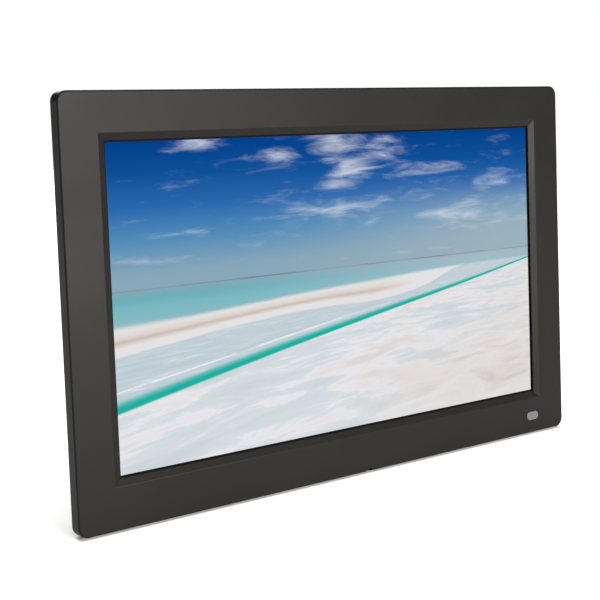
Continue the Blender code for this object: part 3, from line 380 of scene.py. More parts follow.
def refined_mesh(node):
    """A copy of a CAD node in the frame's own axes, its doubles merged and its flat faces made whole."""
    bm = bmesh.new()
    bm.from_mesh(NODES[node].data)
    bm.transform(TO_OWN)
    bmesh.ops.remove_doubles(bm, verts=bm.verts, dist=MERGE)
    bmesh.ops.dissolve_limit(
        bm, angle_limit=FLAT_ANGLE, use_dissolve_boundaries=False,
        verts=bm.verts, edges=bm.edges, delimit={"NORMAL"},
    )
    return bm


def colours():
    return bpy.context.scene.photo_frame_colours


def sizes():
    return bpy.context.scene.photo_frame_sizes


# Colour (sRGB hex, or a colour of the panel), roughness, grain and its depth in millimetres,
# unevenness of the tone, specular level
PLASTICS = {
    # Satin ABS from a lightly textured mould: a soft broad sheen, no mirror reflection.
    "satin_moulded_abs": ("bezel", 0.4, 0.8, 0.012, 0.08, 0.07),
    # Spark-eroded ABS: matt and evenly grained, as a rear shell is.
    "spark_textured_abs": ("rear", 0.56, 0.6, 0.05, 0.08, 0.3),
    # Smooth moulded ABS caps, a little glossier than the shell from use.
    "smooth_key_abs": ("keys", 0.34, 0.9, 0.01, 0.08, 0.3),
    # Pad-printed ink in the keys' sunk marks: flat, pale and dry.
    "pale_pad_print": ("B9BABC", 0.6, 1.0, 0.004, 0.08, 0.3),
    # Moulded silicone rubber: matt, slightly dusty black with no clear reflection.
    "matt_silicone_rubber": ("242424", 0.85, 1.1, 0.02, 0.08, 0.3),
    # Glass-filled nylon housings: matt black.
    "black_nylon": ("222224", 0.5, 0.7, 0.01, 0.08, 0.3),
    # White polyester diffuser: an even, slightly hazy white.
    "diffuser_film": ("E6E7E6", 0.5, 2.0, 0.004, 0.02, 0.3),
    # Polished acrylic sheet: pale and glossy, with a faint green cast.
    "polished_acrylic": ("E2EBEA", 0.12, 1.5, 0.004, 0.02, 0.3),
    # Extruded PVC over the wires: smooth red with a soft gloss.
    "pvc_sheath": ("A02A24", 0.4, 0.7, 0.01, 0.08, 0.3),
    # Polyester ribbon cable: pale and smooth.
    "polyester_ribbon": ("DCDEE0", 0.36, 1.0, 0.004, 0.08, 0.3),
}
# Colour (sRGB hex), roughness, line spacing in millimetres, stretch along each axis
METALS = {
    # Black-oxide steel: dark grey with a soft metallic sheen.
    "black_oxide_steel": ("5A5A5E", 0.38, 0.8, (1, 1, 1)),
    # Tin-plated steel shells, drawn thin: bright with faint lines along them.
    "tin_plated_shell": ("C9CACC", 0.3, 0.7, (0.1, 1, 1)),
    # Zinc-plated steel sheet: bright, with the mill's rolling lines along it.
    "zinc_plated_sheet": ("B9BBBD", 0.34, 0.6, (0.04, 1, 1)),
}


def finish_named(name):
    """A finish by name. One in the tables is made the first time that it is asked for."""
    if name in bpy.data.materials:
        return bpy.data.materials[name]
    maker, table = (moulded_plastic, PLASTICS) if name in PLASTICS else (rolled_metal, METALS)
    colour, *settings = table[name]
    chosen = getattr(colours(), colour, None)
    return maker(name, hex_colour(colour) if chosen is None else tuple(chosen), *settings)


# The front

BOSS_RADIUS = 3.5 * MM
PILOT_RADIUS = 1.45 * MM
CASE_BOSS_TOP = 10 * MM  # how far behind the front face the case screws' bosses end
LENS_HALF = Vector((5 * MM, 0, 2.75 * MM))  # half the receiver's lens, across and up
LENS_RADIUS = 2.5 * MM
LENS_PLAY = 0.2 * MM  # all round the lens in its hole
NOTCH_LEFT = 8.1 * MM  # the notch's sides, from the frame's middle
NOTCH_RIGHT = 12.3 * MM
NOTCH_HEIGHT = 1.7 * MM
FOOT_PLAY = 0.2 * MM  # beside a foot in its seat
FOOT_GAP = 0.3 * MM  # above a foot in its seat


class PHOTOFRAME_OT_front_bezel(bpy.types.Operator):
    """Moulds the front bezel with its sloped window, receiver hole and foot seats"""
    bl_idname = "photoframe.front_bezel"
    bl_label = "Front Bezel"

    def execute(self, context):
        size = sizes()
        high = own_box("front_bezel")[1]
        half_w, height, depth = high.x, high.z, size.shell_depth
        bm = bmesh.new()
        verts = add_block(bm, (-half_w, 0, 0), (half_w, depth, height))
        round_edges(bm, edges_along(verts, "Y"), size.corner_radius, segments=14)
        front = facing(bm, (0, -1, 0))
        round_edges(bm, front.edges, size.edge_radius, segments=6)
        bezel = new_piece("bezel_moulding", bm)

        inset = size.wall
        bm = bmesh.new()
        add_round_block(
            bm, (inset - half_w, size.face, inset), (half_w - inset, depth + CUT, height - inset),
            size.corner_radius - inset,
        )
        carve(bezel, bm)
        self.add_bosses(bezel, size.face)
        self.cut_window(bezel, size)
        self.cut_holes(bezel, size)
        settle(
            bezel, ["front_bezel"], ["satin_moulded_abs"],
            edge=0.18 * MM, crisp=SLOPE_ANGLE,
        )
        return {"FINISHED"}

    def add_bosses(self, bezel, face):
        """Screw bosses behind the face, each under the case or bracket screw that it holds."""
        solid, pilot = bmesh.new(), bmesh.new()
        for node in sorted(NODES):
            if node.startswith(("case_screw", "bracket_screw")):
                low, high = own_box(node)
                x, z = (low.x + high.x) / 2, (low.z + high.z) / 2
                top = CASE_BOSS_TOP if node.startswith("case") else own_box("lcd_chassis")[1].y
                add_rod(solid, (x, face / 2, z), (x, top, z), BOSS_RADIUS)
                add_rod(pilot, (x, face + CUT, z), (x, top + CUT, z), PILOT_RADIUS, segments=20)
        carve(bezel, solid, "UNION")
        carve(bezel, pilot)

    def cut_window(self, bezel, size):
        half_w = size.picture_width / 2 + size.margin
        low = size.border_bottom - size.margin
        high = size.border_bottom + size.picture_height + size.margin
        spread = size.chamfer * (1 + CUT / size.chamfer_depth)
        bm = bmesh.new()
        for vert in add_block(bm, (-half_w, -CUT, low), (half_w, size.chamfer_depth, high)):
            if vert.co.y < 0:
                vert.co.x += math.copysign(spread, vert.co.x)
                vert.co.z += spread if vert.co.z > low + CUT else -spread
        carve(bezel, bm)
        bm = bmesh.new()
        add_block(bm, (-half_w, size.chamfer_depth - CUT, low), (half_w, size.face + CUT, high))
        carve(bezel, bm)

    def cut_holes(self, bezel, size):
        """The receiver's hole, the notch in the bottom edge and the seats of the two feet."""
        low, high = own_box("ir_window")
        centre = Vector(((low.x + high.x) / 2, 0, (low.z + high.z) / 2))
        half = LENS_HALF + Vector((LENS_PLAY, 0, LENS_PLAY))
        bm = bmesh.new()
        add_round_block(
            bm, centre - half - Vector((0, CUT, 0)), centre + half + Vector((0, size.face + CUT, 0)),
            LENS_RADIUS, segments=10,
        )
        carve(bezel, bm)
        bm = bmesh.new()
        add_block(bm, (NOTCH_LEFT, -CUT, -CUT), (NOTCH_RIGHT, size.wall, NOTCH_HEIGHT))
        for foot in ("foot_left", "foot_right"):
            low, high = own_box(foot)
            under, over = Vector((FOOT_PLAY, FOOT_PLAY, CUT)), Vector((FOOT_PLAY, FOOT_PLAY, FOOT_GAP))
            add_block(bm, low - under, high + over)
        carve(bezel, bm)


class PHOTOFRAME_OT_display(bpy.types.Operator):
    """Makes the display's glass with its lit picture and dark rim"""
    bl_idname = "photoframe.display"
    bl_label = "Display"

    def execute(self, context):
        size = sizes()
        low, high = own_box("lcd_cell")
        half_w, base = size.picture_width / 2, size.border_bottom
        bm = bmesh.new()
        add_block(bm, low, high)
        cuts = [((side * half_w, 0, 0), (1, 0, 0)) for side in (-1, 1)]
        cuts += [((0, 0, z), (0, 0, 1)) for z in (base, base + size.picture_height)]
        for point, normal in cuts:
            bmesh.ops.bisect_plane(
                bm, geom=bm.verts[:] + bm.edges[:] + bm.faces[:], plane_co=point, plane_no=normal
            )
        bm.normal_update()
        middle = Vector((0, low.y, base + size.picture_height / 2))
        lit = min(
            (face for face in bm.faces if face.normal.y < -0.9),
            key=lambda face: (face.calc_center_median() - middle).length,
        )
        lit.material_index = 1
        spread = bm.loops.layers.uv.new("picture")
        for loop in lit.loops:
            place = loop.vert.co
            loop[spread].uv = (
                (place.x + half_w) / (2 * half_w), (place.z - base) / size.picture_height
            )
        panel = new_piece("display_panel", bm)
        # Glass over its black printed rim, under an anti-glare film: near black, with no clear
        # reflection. The film's haze is far finer than the 1.2 mm that it is drawn at.
        rim, tree, shader = new_finish(
            "black_printed_glass", hex_colour("0E0E11"), 0.5, Specular_IOR_Level=0.01
        )
        place = add_node(tree, "TexCoord").outputs["Object"]
        haze = add_node(tree, "TexNoise", None, {"Vector": place, "Scale": per(1.2)})
        add_node(tree, "MapRange", None, {
            "Value": haze, "To Min": 0.42, "To Max": 0.56,
        }, {0: shader.inputs["Roughness"]})
        picture = lit_picture()
        settle(panel, ["lcd_cell"], [rim.name, picture.name])
        return {"FINISHED"}


def lit_picture():
    """The panel's light: a generic beach under a cloudy sky, painted in its UV map's own square."""
    # Anti-glare film over a lit panel: it glows, and reflects nothing clearly.
    finish, tree, shader = new_finish(
        "lit_anti_glare_film", (0, 0, 0), 0.5, Specular_IOR_Level=0, Emission_Strength=1
    )
    uv = add_node(tree, "UVMap", {"uv_map": "picture"})
    split = add_node(tree, "SeparateXYZ", None, {0: uv})
    across = split.outputs["X"]
    drop = add_node(tree, "Math", MINUS, {0: 1.0, 1: split.outputs["Y"]})
    place = add_node(tree, "CombineXYZ", None, {0: across, 1: drop})

    sky = picture_sky(tree, place, across, drop)
    sea = picture_sea(tree, across, drop)
    land = picture_land(tree, across, drop)
    below = add_node(tree, "MapRange", SMOOTHSTEP, {
        "Value": drop, "From Min": HORIZON - 0.0015, "From Max": HORIZON + 0.0015,
    })
    picture = add_node(tree, "Mix", MIX_COLOURS, {FACTOR: below, FIRST: sky, SECOND: sea})
    for mask, colour in land:
        picture = add_node(tree, "Mix", MIX_COLOURS, {FACTOR: mask, FIRST: picture, SECOND: colour})
    tree.links.new(picture.outputs[MIXED], shader.inputs["Emission Color"])
    return finish


HORIZON = 0.447
# The shores and the channel, as drops from the picture's top at steps across it
UPPER_SHORE = [(0, 0.560), (0.2, 0.545), (0.4, 0.523), (0.6, 0.507), (0.8, 0.494), (1, 0.49)]
LOWER_SHORE = [
    (0, 0.652), (0.14, 0.622), (0.3, 0.594), (0.45, 0.58), (0.58, 0.58), (0.7, 0.552), (0.8, 0.497),
    (1, 0.47),
]
FOAM = [(0, 0.757), (0.18, 0.709), (0.34, 0.665), (0.5, 0.622), (0.62, 0.592), (1, 0.5)]
CHANNEL = [(0, 0.803), (0.2, 0.736), (0.4, 0.672), (0.6, 0.612), (0.8, 0.553), (1, 0.488)]
# Clouds: middle (across, drop), half sizes, strength
CLOUDS = [
    (0.49, 0.03, 0.10, 0.11, 1.0), (0.53, 0.11, 0.10, 0.09, 1.15), (0.60, 0.06, 0.10, 0.08, 0.6),
    (0.48, 0.165, 0.10, 0.04, 0.8), (0.34, 0.065, 0.08, 0.038, 1.1), (0.18, 0.018, 0.10, 0.04, 0.9),
    (0.47, 0.25, 0.20, 0.08, 0.7), (0.90, 0.195, 0.12, 0.045, 0.7), (0.72, 0.15, 0.26, 0.07, 0.5),
    (0.85, 0.30, 0.22, 0.07, 0.85), (0.66, 0.23, 0.2, 0.06, 0.35), (0.14, 0.285, 0.1, 0.025, 0.7),
    (0.06, 0.362, 0.12, 0.02, 0.6), (0.33, 0.18, 0.06, 0.02, 0.2),
]


def picture_sky(tree, place, across, drop):
    blue = add_node(tree, "ValToRGB", None, {0: drop}, stops=[
        (0.0, "003F8A"), (0.1, "0E5199"), (0.2, "2A68AE"), (0.3, "528DB9"), (0.4, "86A6B9"),
        (0.46, "8CA8BA"),
    ])
    low = add_node(tree, "MapRange", SMOOTHSTEP, {"Value": drop, "From Min": 0.14, "From Max": 0.38})
    right = add_node(tree, "MapRange", SMOOTHSTEP, {
        "Value": across, "From Min": 0.25, "From Max": 1.0, "To Max": 0.85,
    })
    haze = add_node(tree, "Math", TIMES, {0: low, 1: right})
    pale = (*hex_colour("9EB3BF"), 1)
    sky = add_node(tree, "Mix", MIX_COLOURS, {FACTOR: haze, FIRST: blue, SECOND: pale})

    wisps = add_node(tree, "Mapping", None, {
        "Vector": place, "Rotation": (0, 0, math.radians(-4)), "Scale": (9.0, 24.0, 1.0),
    })
    noise = add_node(tree, "TexNoise", None, {
        "Vector": wisps, "Scale": 1.0, "Detail": 12.0, "Roughness": 0.63, "Distortion": 0.5,
    })
    cover = 0.0
    for x, y, half_w, half_h, strength in CLOUDS:
        offset = add_node(tree, "VectorMath", MINUS, {0: place, 1: (x, y, 0)})
        scaled = add_node(tree, "VectorMath", OVER, {0: offset, 1: (half_w, half_h, 1)})
        far = add_node(tree, "VectorMath", {"operation": "LENGTH"}, {0: scaled})
        near = add_node(tree, "MapRange", SMOOTHSTEP, {
            "Value": far.outputs["Value"], "From Min": 1.15, "From Max": 0.0, "To Max": strength,
        })
        cover = add_node(tree, "Math", {"operation": "MAXIMUM"}, {0: cover, 1: near})
    # A cloud starts where the noise and the cover add up to 1.75, and is whole at 3.5.
    level = add_node(tree, "Math", {"operation": "MULTIPLY_ADD"}, {0: noise, 1: 3.2, 2: cover})
    cloud = add_node(tree, "MapRange", SMOOTHSTEP, {
        "Value": level, "From Min": 1.75, "From Max": 3.5, "To Max": 0.95,
    })
    return add_node(tree, "Mix", MIX_COLOURS, {
        FACTOR: cloud, FIRST: sky, SECOND: (*hex_colour("DDE3EC"), 1),
    })


def picture_sea(tree, across, drop):
    left = add_node(tree, "ValToRGB", None, {0: drop}, stops=[
        (0.445, "7F98A2"), (0.449, "83A8B7"), (0.475, "6EAEBA"), (0.5, "78B8C1"), (0.54, "88B9C2"),
        (0.57, "BCC9CC"),
    ])
    right = add_node(tree, "ValToRGB", None, {0: drop}, stops=[
        (0.445, "A8B0B4"), (0.46, "A3BAC6"), (0.5, "A0BDC8"), (0.54, "B4C4CB"),
    ])
    side = add_node(tree, "MapRange", SMOOTHSTEP, {"Value": across, "From Min": 0.15, "From Max": 0.95})
    return add_node(tree, "Mix", MIX_COLOURS, {FACTOR: side, FIRST: left, SECOND: right})


def picture_land(tree, across, drop):
    """(mask, colour) layers over the sea, from the far sandbar to the near flats."""
    # The flats lie level, so their pattern shrinks towards the horizon, and its lines meet there
    # at 1.1 across, past the picture's right edge.
    away = add_node(tree, "Math", MINUS, {0: drop, 1: HORIZON - 0.02})
    side = add_node(tree, "Math", MINUS, {0: across, 1: 1.1})
    ground_x = add_node(tree, "Math", OVER, {0: side, 1: away})
    ground_y = add_node(tree, "Math", OVER, {0: 1.0, 1: away})
    ground = add_node(tree, "CombineXYZ", None, {0: ground_x, 1: ground_y})
    wide = add_node(tree, "TexNoise", None, {
        "Vector": ground, "Scale": 1.1, "Detail": 6.0, "Roughness": 0.55, "Distortion": 0.4,
    })
    fine = add_node(tree, "TexNoise", None, {
        "Vector": ground, "Scale": 3.4, "Detail": 6.0, "Roughness": 0.62, "Distortion": 0.8,
    })
    wobble = add_node(tree, "Math", {"operation": "MULTIPLY_ADD"}, {0: fine, 1: 0.012, 2: drop})

    upper, lower, channel, foam = [
        add_node(tree, "FloatCurve", None, {"Value": across}, points=line)
        for line in (UPPER_SHORE, LOWER_SHORE, CHANNEL, FOAM)
    ]
    lagoon_start = add_node(tree, "Math", {"operation": "MAXIMUM"}, {0: upper, 1: lower})
    past = []  # 0 above a line and 1 below it, with a soft edge
    for height, line, soft in (
        (wobble, lagoon_start, 0.006), (wobble, upper, 0.006), (wobble, lower, 0.004),
        (drop, channel, 0.002),
    ):
        over = add_node(tree, "Math", MINUS, {0: height, 1: line})
        past.append(add_node(tree, "MapRange", SMOOTHSTEP, {
            "Value": over, "From Min": -soft, "From Max": soft,
        }))
    lagoon_mask, upper_mask, lower_mask, flats_mask = past

    # Lagoon: pale grey-blue shallows from the sandbar's lower shore down
    lagoon = add_node(tree, "ValToRGB", None, {0: fine}, stops=[
        (0.3, "B9C8D3"), (0.5, "C2CFD8"), (0.62, "C9D6DC"), (0.72, "E4E7EB"),
    ])

    # Sandbar: between its two shores, browner along its middle
    span = add_node(tree, "Math", MINUS, {0: lower, 1: upper})
    inside = add_node(tree, "Math", MINUS, {0: wobble, 1: upper})
    share = add_node(tree, "Math", {"operation": "DIVIDE", "use_clamp": True}, {0: inside, 1: span})
    brown = add_node(tree, "ValToRGB", None, {0: share}, stops=[
        (0.0, "C6D2D4"), (0.14, "E3E1DF"), (0.36, "DDD6D2"), (0.52, "CBBDB3"), (0.60, "D8CFC9"),
        (0.72, "E4E2E3"),
    ])
    tip = add_node(tree, "MapRange", SMOOTHSTEP, {"Value": across, "From Min": 0.56, "From Max": 0.7})
    pale = (*hex_colour("E4E3E4"), 1)
    bar = add_node(tree, "Mix", MIX_COLOURS, {FACTOR: tip, FIRST: brown, SECOND: pale})
    bar_mask = add_node(tree, "Math", {"operation": "SUBTRACT", "use_clamp": True}, {
        0: upper_mask, 1: lower_mask,
    })

    # Flats: white salt, pale blue wet patches and beige sand nearer the viewer on the right
    crust = add_node(tree, "Math", {"operation": "MULTIPLY_ADD"}, {0: fine, 1: 0.5, 2: wide})
    wet = add_node(tree, "ValToRGB", None, {0: crust}, stops=[
        (0.60, "CBD5DA"), (0.70, "D3DBE0"), (0.745, "DADFE4"), (0.765, "E7E6EB"), (0.85, "E2DFDF"),
        (0.92, "DCD6D3"),
    ])
    sand = add_node(tree, "ValToRGB", None, {0: fine}, stops=[
        (0.33, "D3C9C4"), (0.46, "DED8D5"), (0.6, "E2DFDE"), (0.7, "E7E5E7"),
    ])
    near = add_node(tree, "Math", {"operation": "MULTIPLY_ADD"}, {0: across, 1: 0.85, 2: drop})
    near = add_node(tree, "Math", {"operation": "MULTIPLY_ADD"}, {0: wide, 1: 0.5, 2: near})
    beige = add_node(tree, "MapRange", SMOOTHSTEP, {"Value": near, "From Min": 1.5, "From Max": 1.95})
    flats = add_node(tree, "Mix", MIX_COLOURS, {FACTOR: beige, FIRST: wet, SECOND: sand})

    # Channel: a straight teal cut that narrows into the distance, shallower on its far side
    from_line = add_node(tree, "Math", MINUS, {0: drop, 1: channel})
    reach = add_node(tree, "MapRange", None, {"Value": across, "To Min": 0.036, "To Max": 0.006})
    depth = add_node(tree, "Math", OVER, {0: from_line, 1: reach})
    depth = add_node(tree, "Math", {"operation": "ADD"}, {0: depth, 1: 1.0})
    water = add_node(tree, "ValToRGB", None, {0: depth}, stops=[
        (0.15, "A9CBCB"), (0.55, "66BDB8"), (0.85, "28B0A3"), (1.0, "1FAF9F"),
    ])
    far_bank, near_bank = [
        add_node(tree, "MapRange", SMOOTHSTEP, {"Value": depth, "From Min": bank, "From Max": bed})
        for bank, bed in ((0.0, 0.6), (1.5, 1.25))
    ]
    water_mask = add_node(tree, "Math", TIMES, {0: far_bank, 1: near_bank})

    thin = []  # 1 on a line and 0 beside it
    for height, line, edge, core in ((wobble, foam, 0.004, 0.0015), (drop, HORIZON, 0.0032, 0.001)):
        off = add_node(tree, "Math", MINUS, {0: height, 1: line})
        off = add_node(tree, "Math", {"operation": "ABSOLUTE"}, {0: off})
        thin.append(add_node(tree, "MapRange", None, {"Value": off, "From Min": edge, "From Max": core}))
    foam_line, coast_line = thin

    # Foam: a broken white line along the lagoon's shallows, gone before it reaches the right
    streak = add_node(tree, "CombineXYZ", None, {0: across})
    breaks = add_node(tree, "TexNoise", None, {"Vector": streak, "Scale": 9.0, "Detail": 3.0})
    whole = add_node(tree, "MapRange", None, {"Value": breaks, "From Min": 0.4, "From Max": 0.46})
    fade = add_node(tree, "MapRange", None, {
        "Value": across, "From Min": 0.62, "From Max": 0.42, "To Max": 0.85,
    })
    foam_mask = add_node(tree, "Math", TIMES, {0: foam_line, 1: whole})
    foam_mask = add_node(tree, "Math", TIMES, {0: foam_mask, 1: fade})

    # Horizon: a thin dark coast, broken along its length
    heads = add_node(tree, "TexNoise", None, {"Vector": streak, "Scale": 5.0, "Detail": 5.0})
    heads = add_node(tree, "MapRange", None, {
        "Value": heads, "From Min": 0.44, "From Max": 0.66, "To Min": 0.15, "To Max": 0.8,
    })
    coast_mask = add_node(tree, "Math", TIMES, {0: coast_line, 1: heads})
    return [
        (lagoon_mask, lagoon), (foam_mask, (*hex_colour("EDEFF2"), 1)), (bar_mask, bar),
        (flats_mask, flats), (water_mask, water), (coast_mask, (*hex_colour("6A6E74"), 1)),
    ]


FLANGE_WIDTH = 1.4 * MM  # how far the window's flange stands out round its lens
FLANGE_THICKNESS = 0.9 * MM
LENS_ROUNDING = 0.35 * MM  # round the lens's face


class PHOTOFRAME_OT_receiver_window(bpy.types.Operator):
    """Moulds the remote control's translucent window, its face just below the bezel's"""
    bl_idname = "photoframe.receiver_window"
    bl_label = "Receiver Window"

    def execute(self, context):
        low, high = own_box("ir_window")
        centre = Vector(((low.x + high.x) / 2, 0, (low.z + high.z) / 2))
        flange_front = high.y - FLANGE_THICKNESS
        bm = bmesh.new()
        verts = add_block(
            bm, centre - LENS_HALF + Vector((0, low.y, 0)),
            centre + LENS_HALF + Vector((0, flange_front + CUT / 4, 0)),
        )
        round_edges(bm, edges_along(verts, "Y"), LENS_RADIUS, segments=12)
        round_edges(bm, facing(bm, (0, -1, 0)).edges, LENS_ROUNDING, segments=4)
        window = new_piece("receiver_lens", bm)
        bm = bmesh.new()
        half = LENS_HALF + Vector((FLANGE_WIDTH, 0, FLANGE_WIDTH))
        add_round_block(
            bm, centre - half + Vector((0, flange_front, 0)), centre + half + Vector((0, high.y, 0)),
            LENS_RADIUS + FLANGE_WIDTH, segments=12,
        )
        carve(window, bm, "UNION")
        # Smoked translucent acrylic: grey, with a clear moulded face and light scattered inside it.
        colour = tuple(colours().window)
        acrylic, tree, shader = new_finish(
            "smoked_acrylic", colour, 0.3, IOR=1.49, Coat_Weight=0.25, Coat_Roughness=0.12,
        )
        place = add_node(tree, "TexCoord").outputs["Object"]
        cloud = add_node(tree, "TexNoise", None, {"Vector": place, "Scale": per(5)})
        add_node(tree, "Mix", MIX_COLOURS, {
            FACTOR: cloud, FIRST: shaded(colour, 0.8), SECOND: shaded(colour, 1.15),
        }, {MIXED: shader.inputs["Base Color"]})
        settle(window, ["ir_window"], [acrylic.name])
        return {"FINISHED"}


# The back

class PHOTOFRAME_OT_rear_cover(bpy.types.Operator):
    """Moulds the rear cover with its stand recess, port pocket, slots and keyholes"""
    bl_idname = "photoframe.rear_cover"
    bl_label = "Rear Cover"

    def execute(self, context):
        cover = new_piece("rear_cover_moulding", refined_mesh("rear_cover"))
        settle(cover, ["rear_cover"], ["spark_textured_abs"], edge=0.25 * MM)
        return {"FINISHED"}


class PHOTOFRAME_OT_stand(bpy.types.Operator):
    """Moulds the swinging leg and its rubber pad"""
    bl_idname = "photoframe.stand"
    bl_label = "Stand"

    def execute(self, context):
        leg = new_piece("stand_leg_moulding", refined_mesh("stand_leg"))
        settle(leg, ["stand_leg"], ["spark_textured_abs"], "stand_leg", edge=0.4 * MM)
        pad = new_piece("stand_pad_rubber", refined_mesh("stand_pad"))
        settle(pad, ["stand_pad"], ["matt_silicone_rubber"], "stand_leg", edge=0.15 * MM)
        return {"FINISHED"}


class PHOTOFRAME_OT_feet(bpy.types.Operator):
    """Moulds the two rubber feet under the bezel"""
    bl_idname = "photoframe.feet"
    bl_label = "Feet"

    def execute(self, context):
        for node in ("foot_left", "foot_right"):
            foot = new_piece(node + "_rubber", refined_mesh(node))
            settle(foot, [node], ["matt_silicone_rubber"], edge=0.15 * MM)
        return {"FINISHED"}


KEY_ROUNDING = 0.5 * MM
KEY_RIM = 0.6 * MM  # inside the rounding, where a key's top starts to rise
MARK_DEPTH = 0.15 * MM
DOT_RADIUS = 1.5 * MM
ARROW_RADIUS = 1.9 * MM  # from an arrow's middle to its corners
BAR_HALF = 2.2 * MM  # half a bar's length
THIN_BAR = 0.3 * MM  # half the height of each of the three bars
WIDE_BAR = 0.35 * MM  # and of the single bar
BAR_PITCH = 1.2 * MM


class PHOTOFRAME_OT_keys(bpy.types.Operator):
    """Moulds the key caps with crowned tops and sunk marks, and the power switch's knob"""
    bl_idname = "photoframe.keys"
    bl_label = "Keys"

    def execute(self, context):
        for node in sorted(NODES):
            if node.startswith("button_"):
                self.make_key(node)
        knob = new_piece("switch_knob_moulding", refined_mesh("power_switch_knob"))
        settle(
            knob, ["power_switch_knob"], ["smooth_key_abs"], "power_switch_knob",
            edge=0.1 * MM,
        )
        return {"FINISHED"}

    def make_key(self, node):
        bm = refined_mesh(node)
        outward = Vector((0, 1, 0))
        round_edges(bm, facing(bm, outward).edges, KEY_ROUNDING, segments=4)
        top = facing(bm, outward)
        bmesh.ops.inset_region(bm, faces=[top], thickness=KEY_RIM, use_even_offset=True)
        bmesh.ops.translate(bm, vec=outward * sizes().key_crown, verts=top.verts)
        centre = top.calc_center_median()
        key = new_piece(node.replace("button", "key") + "_cap", bm)

        bm = bmesh.new()
        sunk = centre - outward * MARK_DEPTH
        self.add_mark(bm, node, sunk, centre + outward * CUT)
        carve(key, bm)
        for face in key.data.polygons:
            if face.normal.y > 0.9 and abs(face.center.y - sunk.y) < LEVEL:
                face.material_index = 1
        settle(key, [node], ["smooth_key_abs", "pale_pad_print"], node)

    def add_mark(self, bm, node, start, end):
        """An arrow away from the middle key, a dot on that key, or bars on the two lower keys."""
        if node == "button_ok":
            add_rod(bm, start, end, DOT_RADIUS)
        elif node == "button_menu":
            half = Vector((BAR_HALF, 0, THIN_BAR))
            for shift in (-BAR_PITCH, 0, BAR_PITCH):
                up = Vector((0, 0, shift))
                add_block(bm, start - half + up, end + half + up)
        elif node == "button_exit":
            half = Vector((BAR_HALF, 0, WIDE_BAR))
            add_block(bm, start - half, end + half)
        else:
            verts = add_rod(bm, start, end, ARROW_RADIUS, segments=3)
            low, high = own_box("button_ok")
            out = (start - (low + high) / 2) * Vector((1, 0, 1))
            tip = (verts[0].co - start) * Vector((1, 0, 1))
            turn = tip.rotation_difference(out).to_matrix()
            bmesh.ops.rotate(bm, cent=start, matrix=turn, verts=verts)


HEAD_ROUNDING = 0.6 * MM
SLOT_LENGTH = 1.7 * MM  # from a recess's middle to the end of its slot
SLOT_WIDTH = 0.4 * MM  # from the middle to the side of a slot
SLOT_DEPTH = 1.4 * MM
SLOT_TAPER = 0.55  # a slot's size at its bottom, to its size at its mouth


class PHOTOFRAME_OT_screws(bpy.types.Operator):
    """Turns the screws with rounded heads and presses their cross recesses"""
    bl_idname = "photoframe.screws"
    bl_label = "Screws"

    def execute(self, context):
        for node in sorted(NODES):
            if "_screw_" in node:
                self.make_screw(node)
        return {"FINISHED"}

    def make_screw(self, node):
        low, high = own_box(node)
        # The board's screws go in from its front, and all the others from the back.
        way, head = (-1, low.y) if node.startswith("board") else (1, high.y)
        centre = Vector(((low.x + high.x) / 2, head, (low.z + high.z) / 2))
        bm = refined_mesh(node)
        round_edges(bm, facing(bm, (0, way, 0)).edges, HEAD_ROUNDING, segments=5)
        screw = new_piece(node + "_steel", bm)
        for half in ((SLOT_LENGTH, 0, SLOT_WIDTH), (SLOT_WIDTH, 0, SLOT_LENGTH)):
            carve(screw, self.slot(centre, Vector(half), way))
        settle(screw, [node], ["black_oxide_steel"])

    def slot(self, centre, half, way):
        """One slot of a cross recess, narrower at its bottom."""
        bm = bmesh.new()
        inward, outward = Vector((0, -SLOT_DEPTH * way, 0)), Vector((0, CUT * way, 0))
        for vert in add_block(bm, centre - half + inward, centre + half + outward):
            if (vert.co.y - centre.y) * way < 0:
                vert.co.x = centre.x + SLOT_TAPER * (vert.co.x - centre.x)
                vert.co.z = centre.z + SLOT_TAPER * (vert.co.z - centre.z)
        return bm


class PHOTOFRAME_OT_ports(bpy.types.Operator):
    """Finishes the sockets in the port pocket"""
    bl_idname = "photoframe.ports"
    bl_label = "Ports"

    def execute(self, context):
        for node in ("card_slot", "usb_socket", "mini_usb_socket"):
            finish_node(node, "tin_plated_shell")
        for node in ("earphone_jack", "power_jack", "power_switch"):
            finish_node(node, "black_nylon")
        return {"FINISHED"}


# Inside

INNER_FINISHES = {
    "zinc_plated_sheet": "lcd_front_frame lcd_chassis lcd_bracket_left lcd_bracket_right"
    " coin_cell stand_hinge_pin",
    "diffuser_film": "optical_films reflector_sheet led_bar",
    "polished_acrylic": "light_guide",
    "black_nylon": "speaker_left speaker_right processor memory_chip coin_cell_holder ir_receiver",
    "pvc_sheath": "speaker_wire_left speaker_wire_right ir_wire",
    "polyester_ribbon": "lcd_flex key_flex",
}


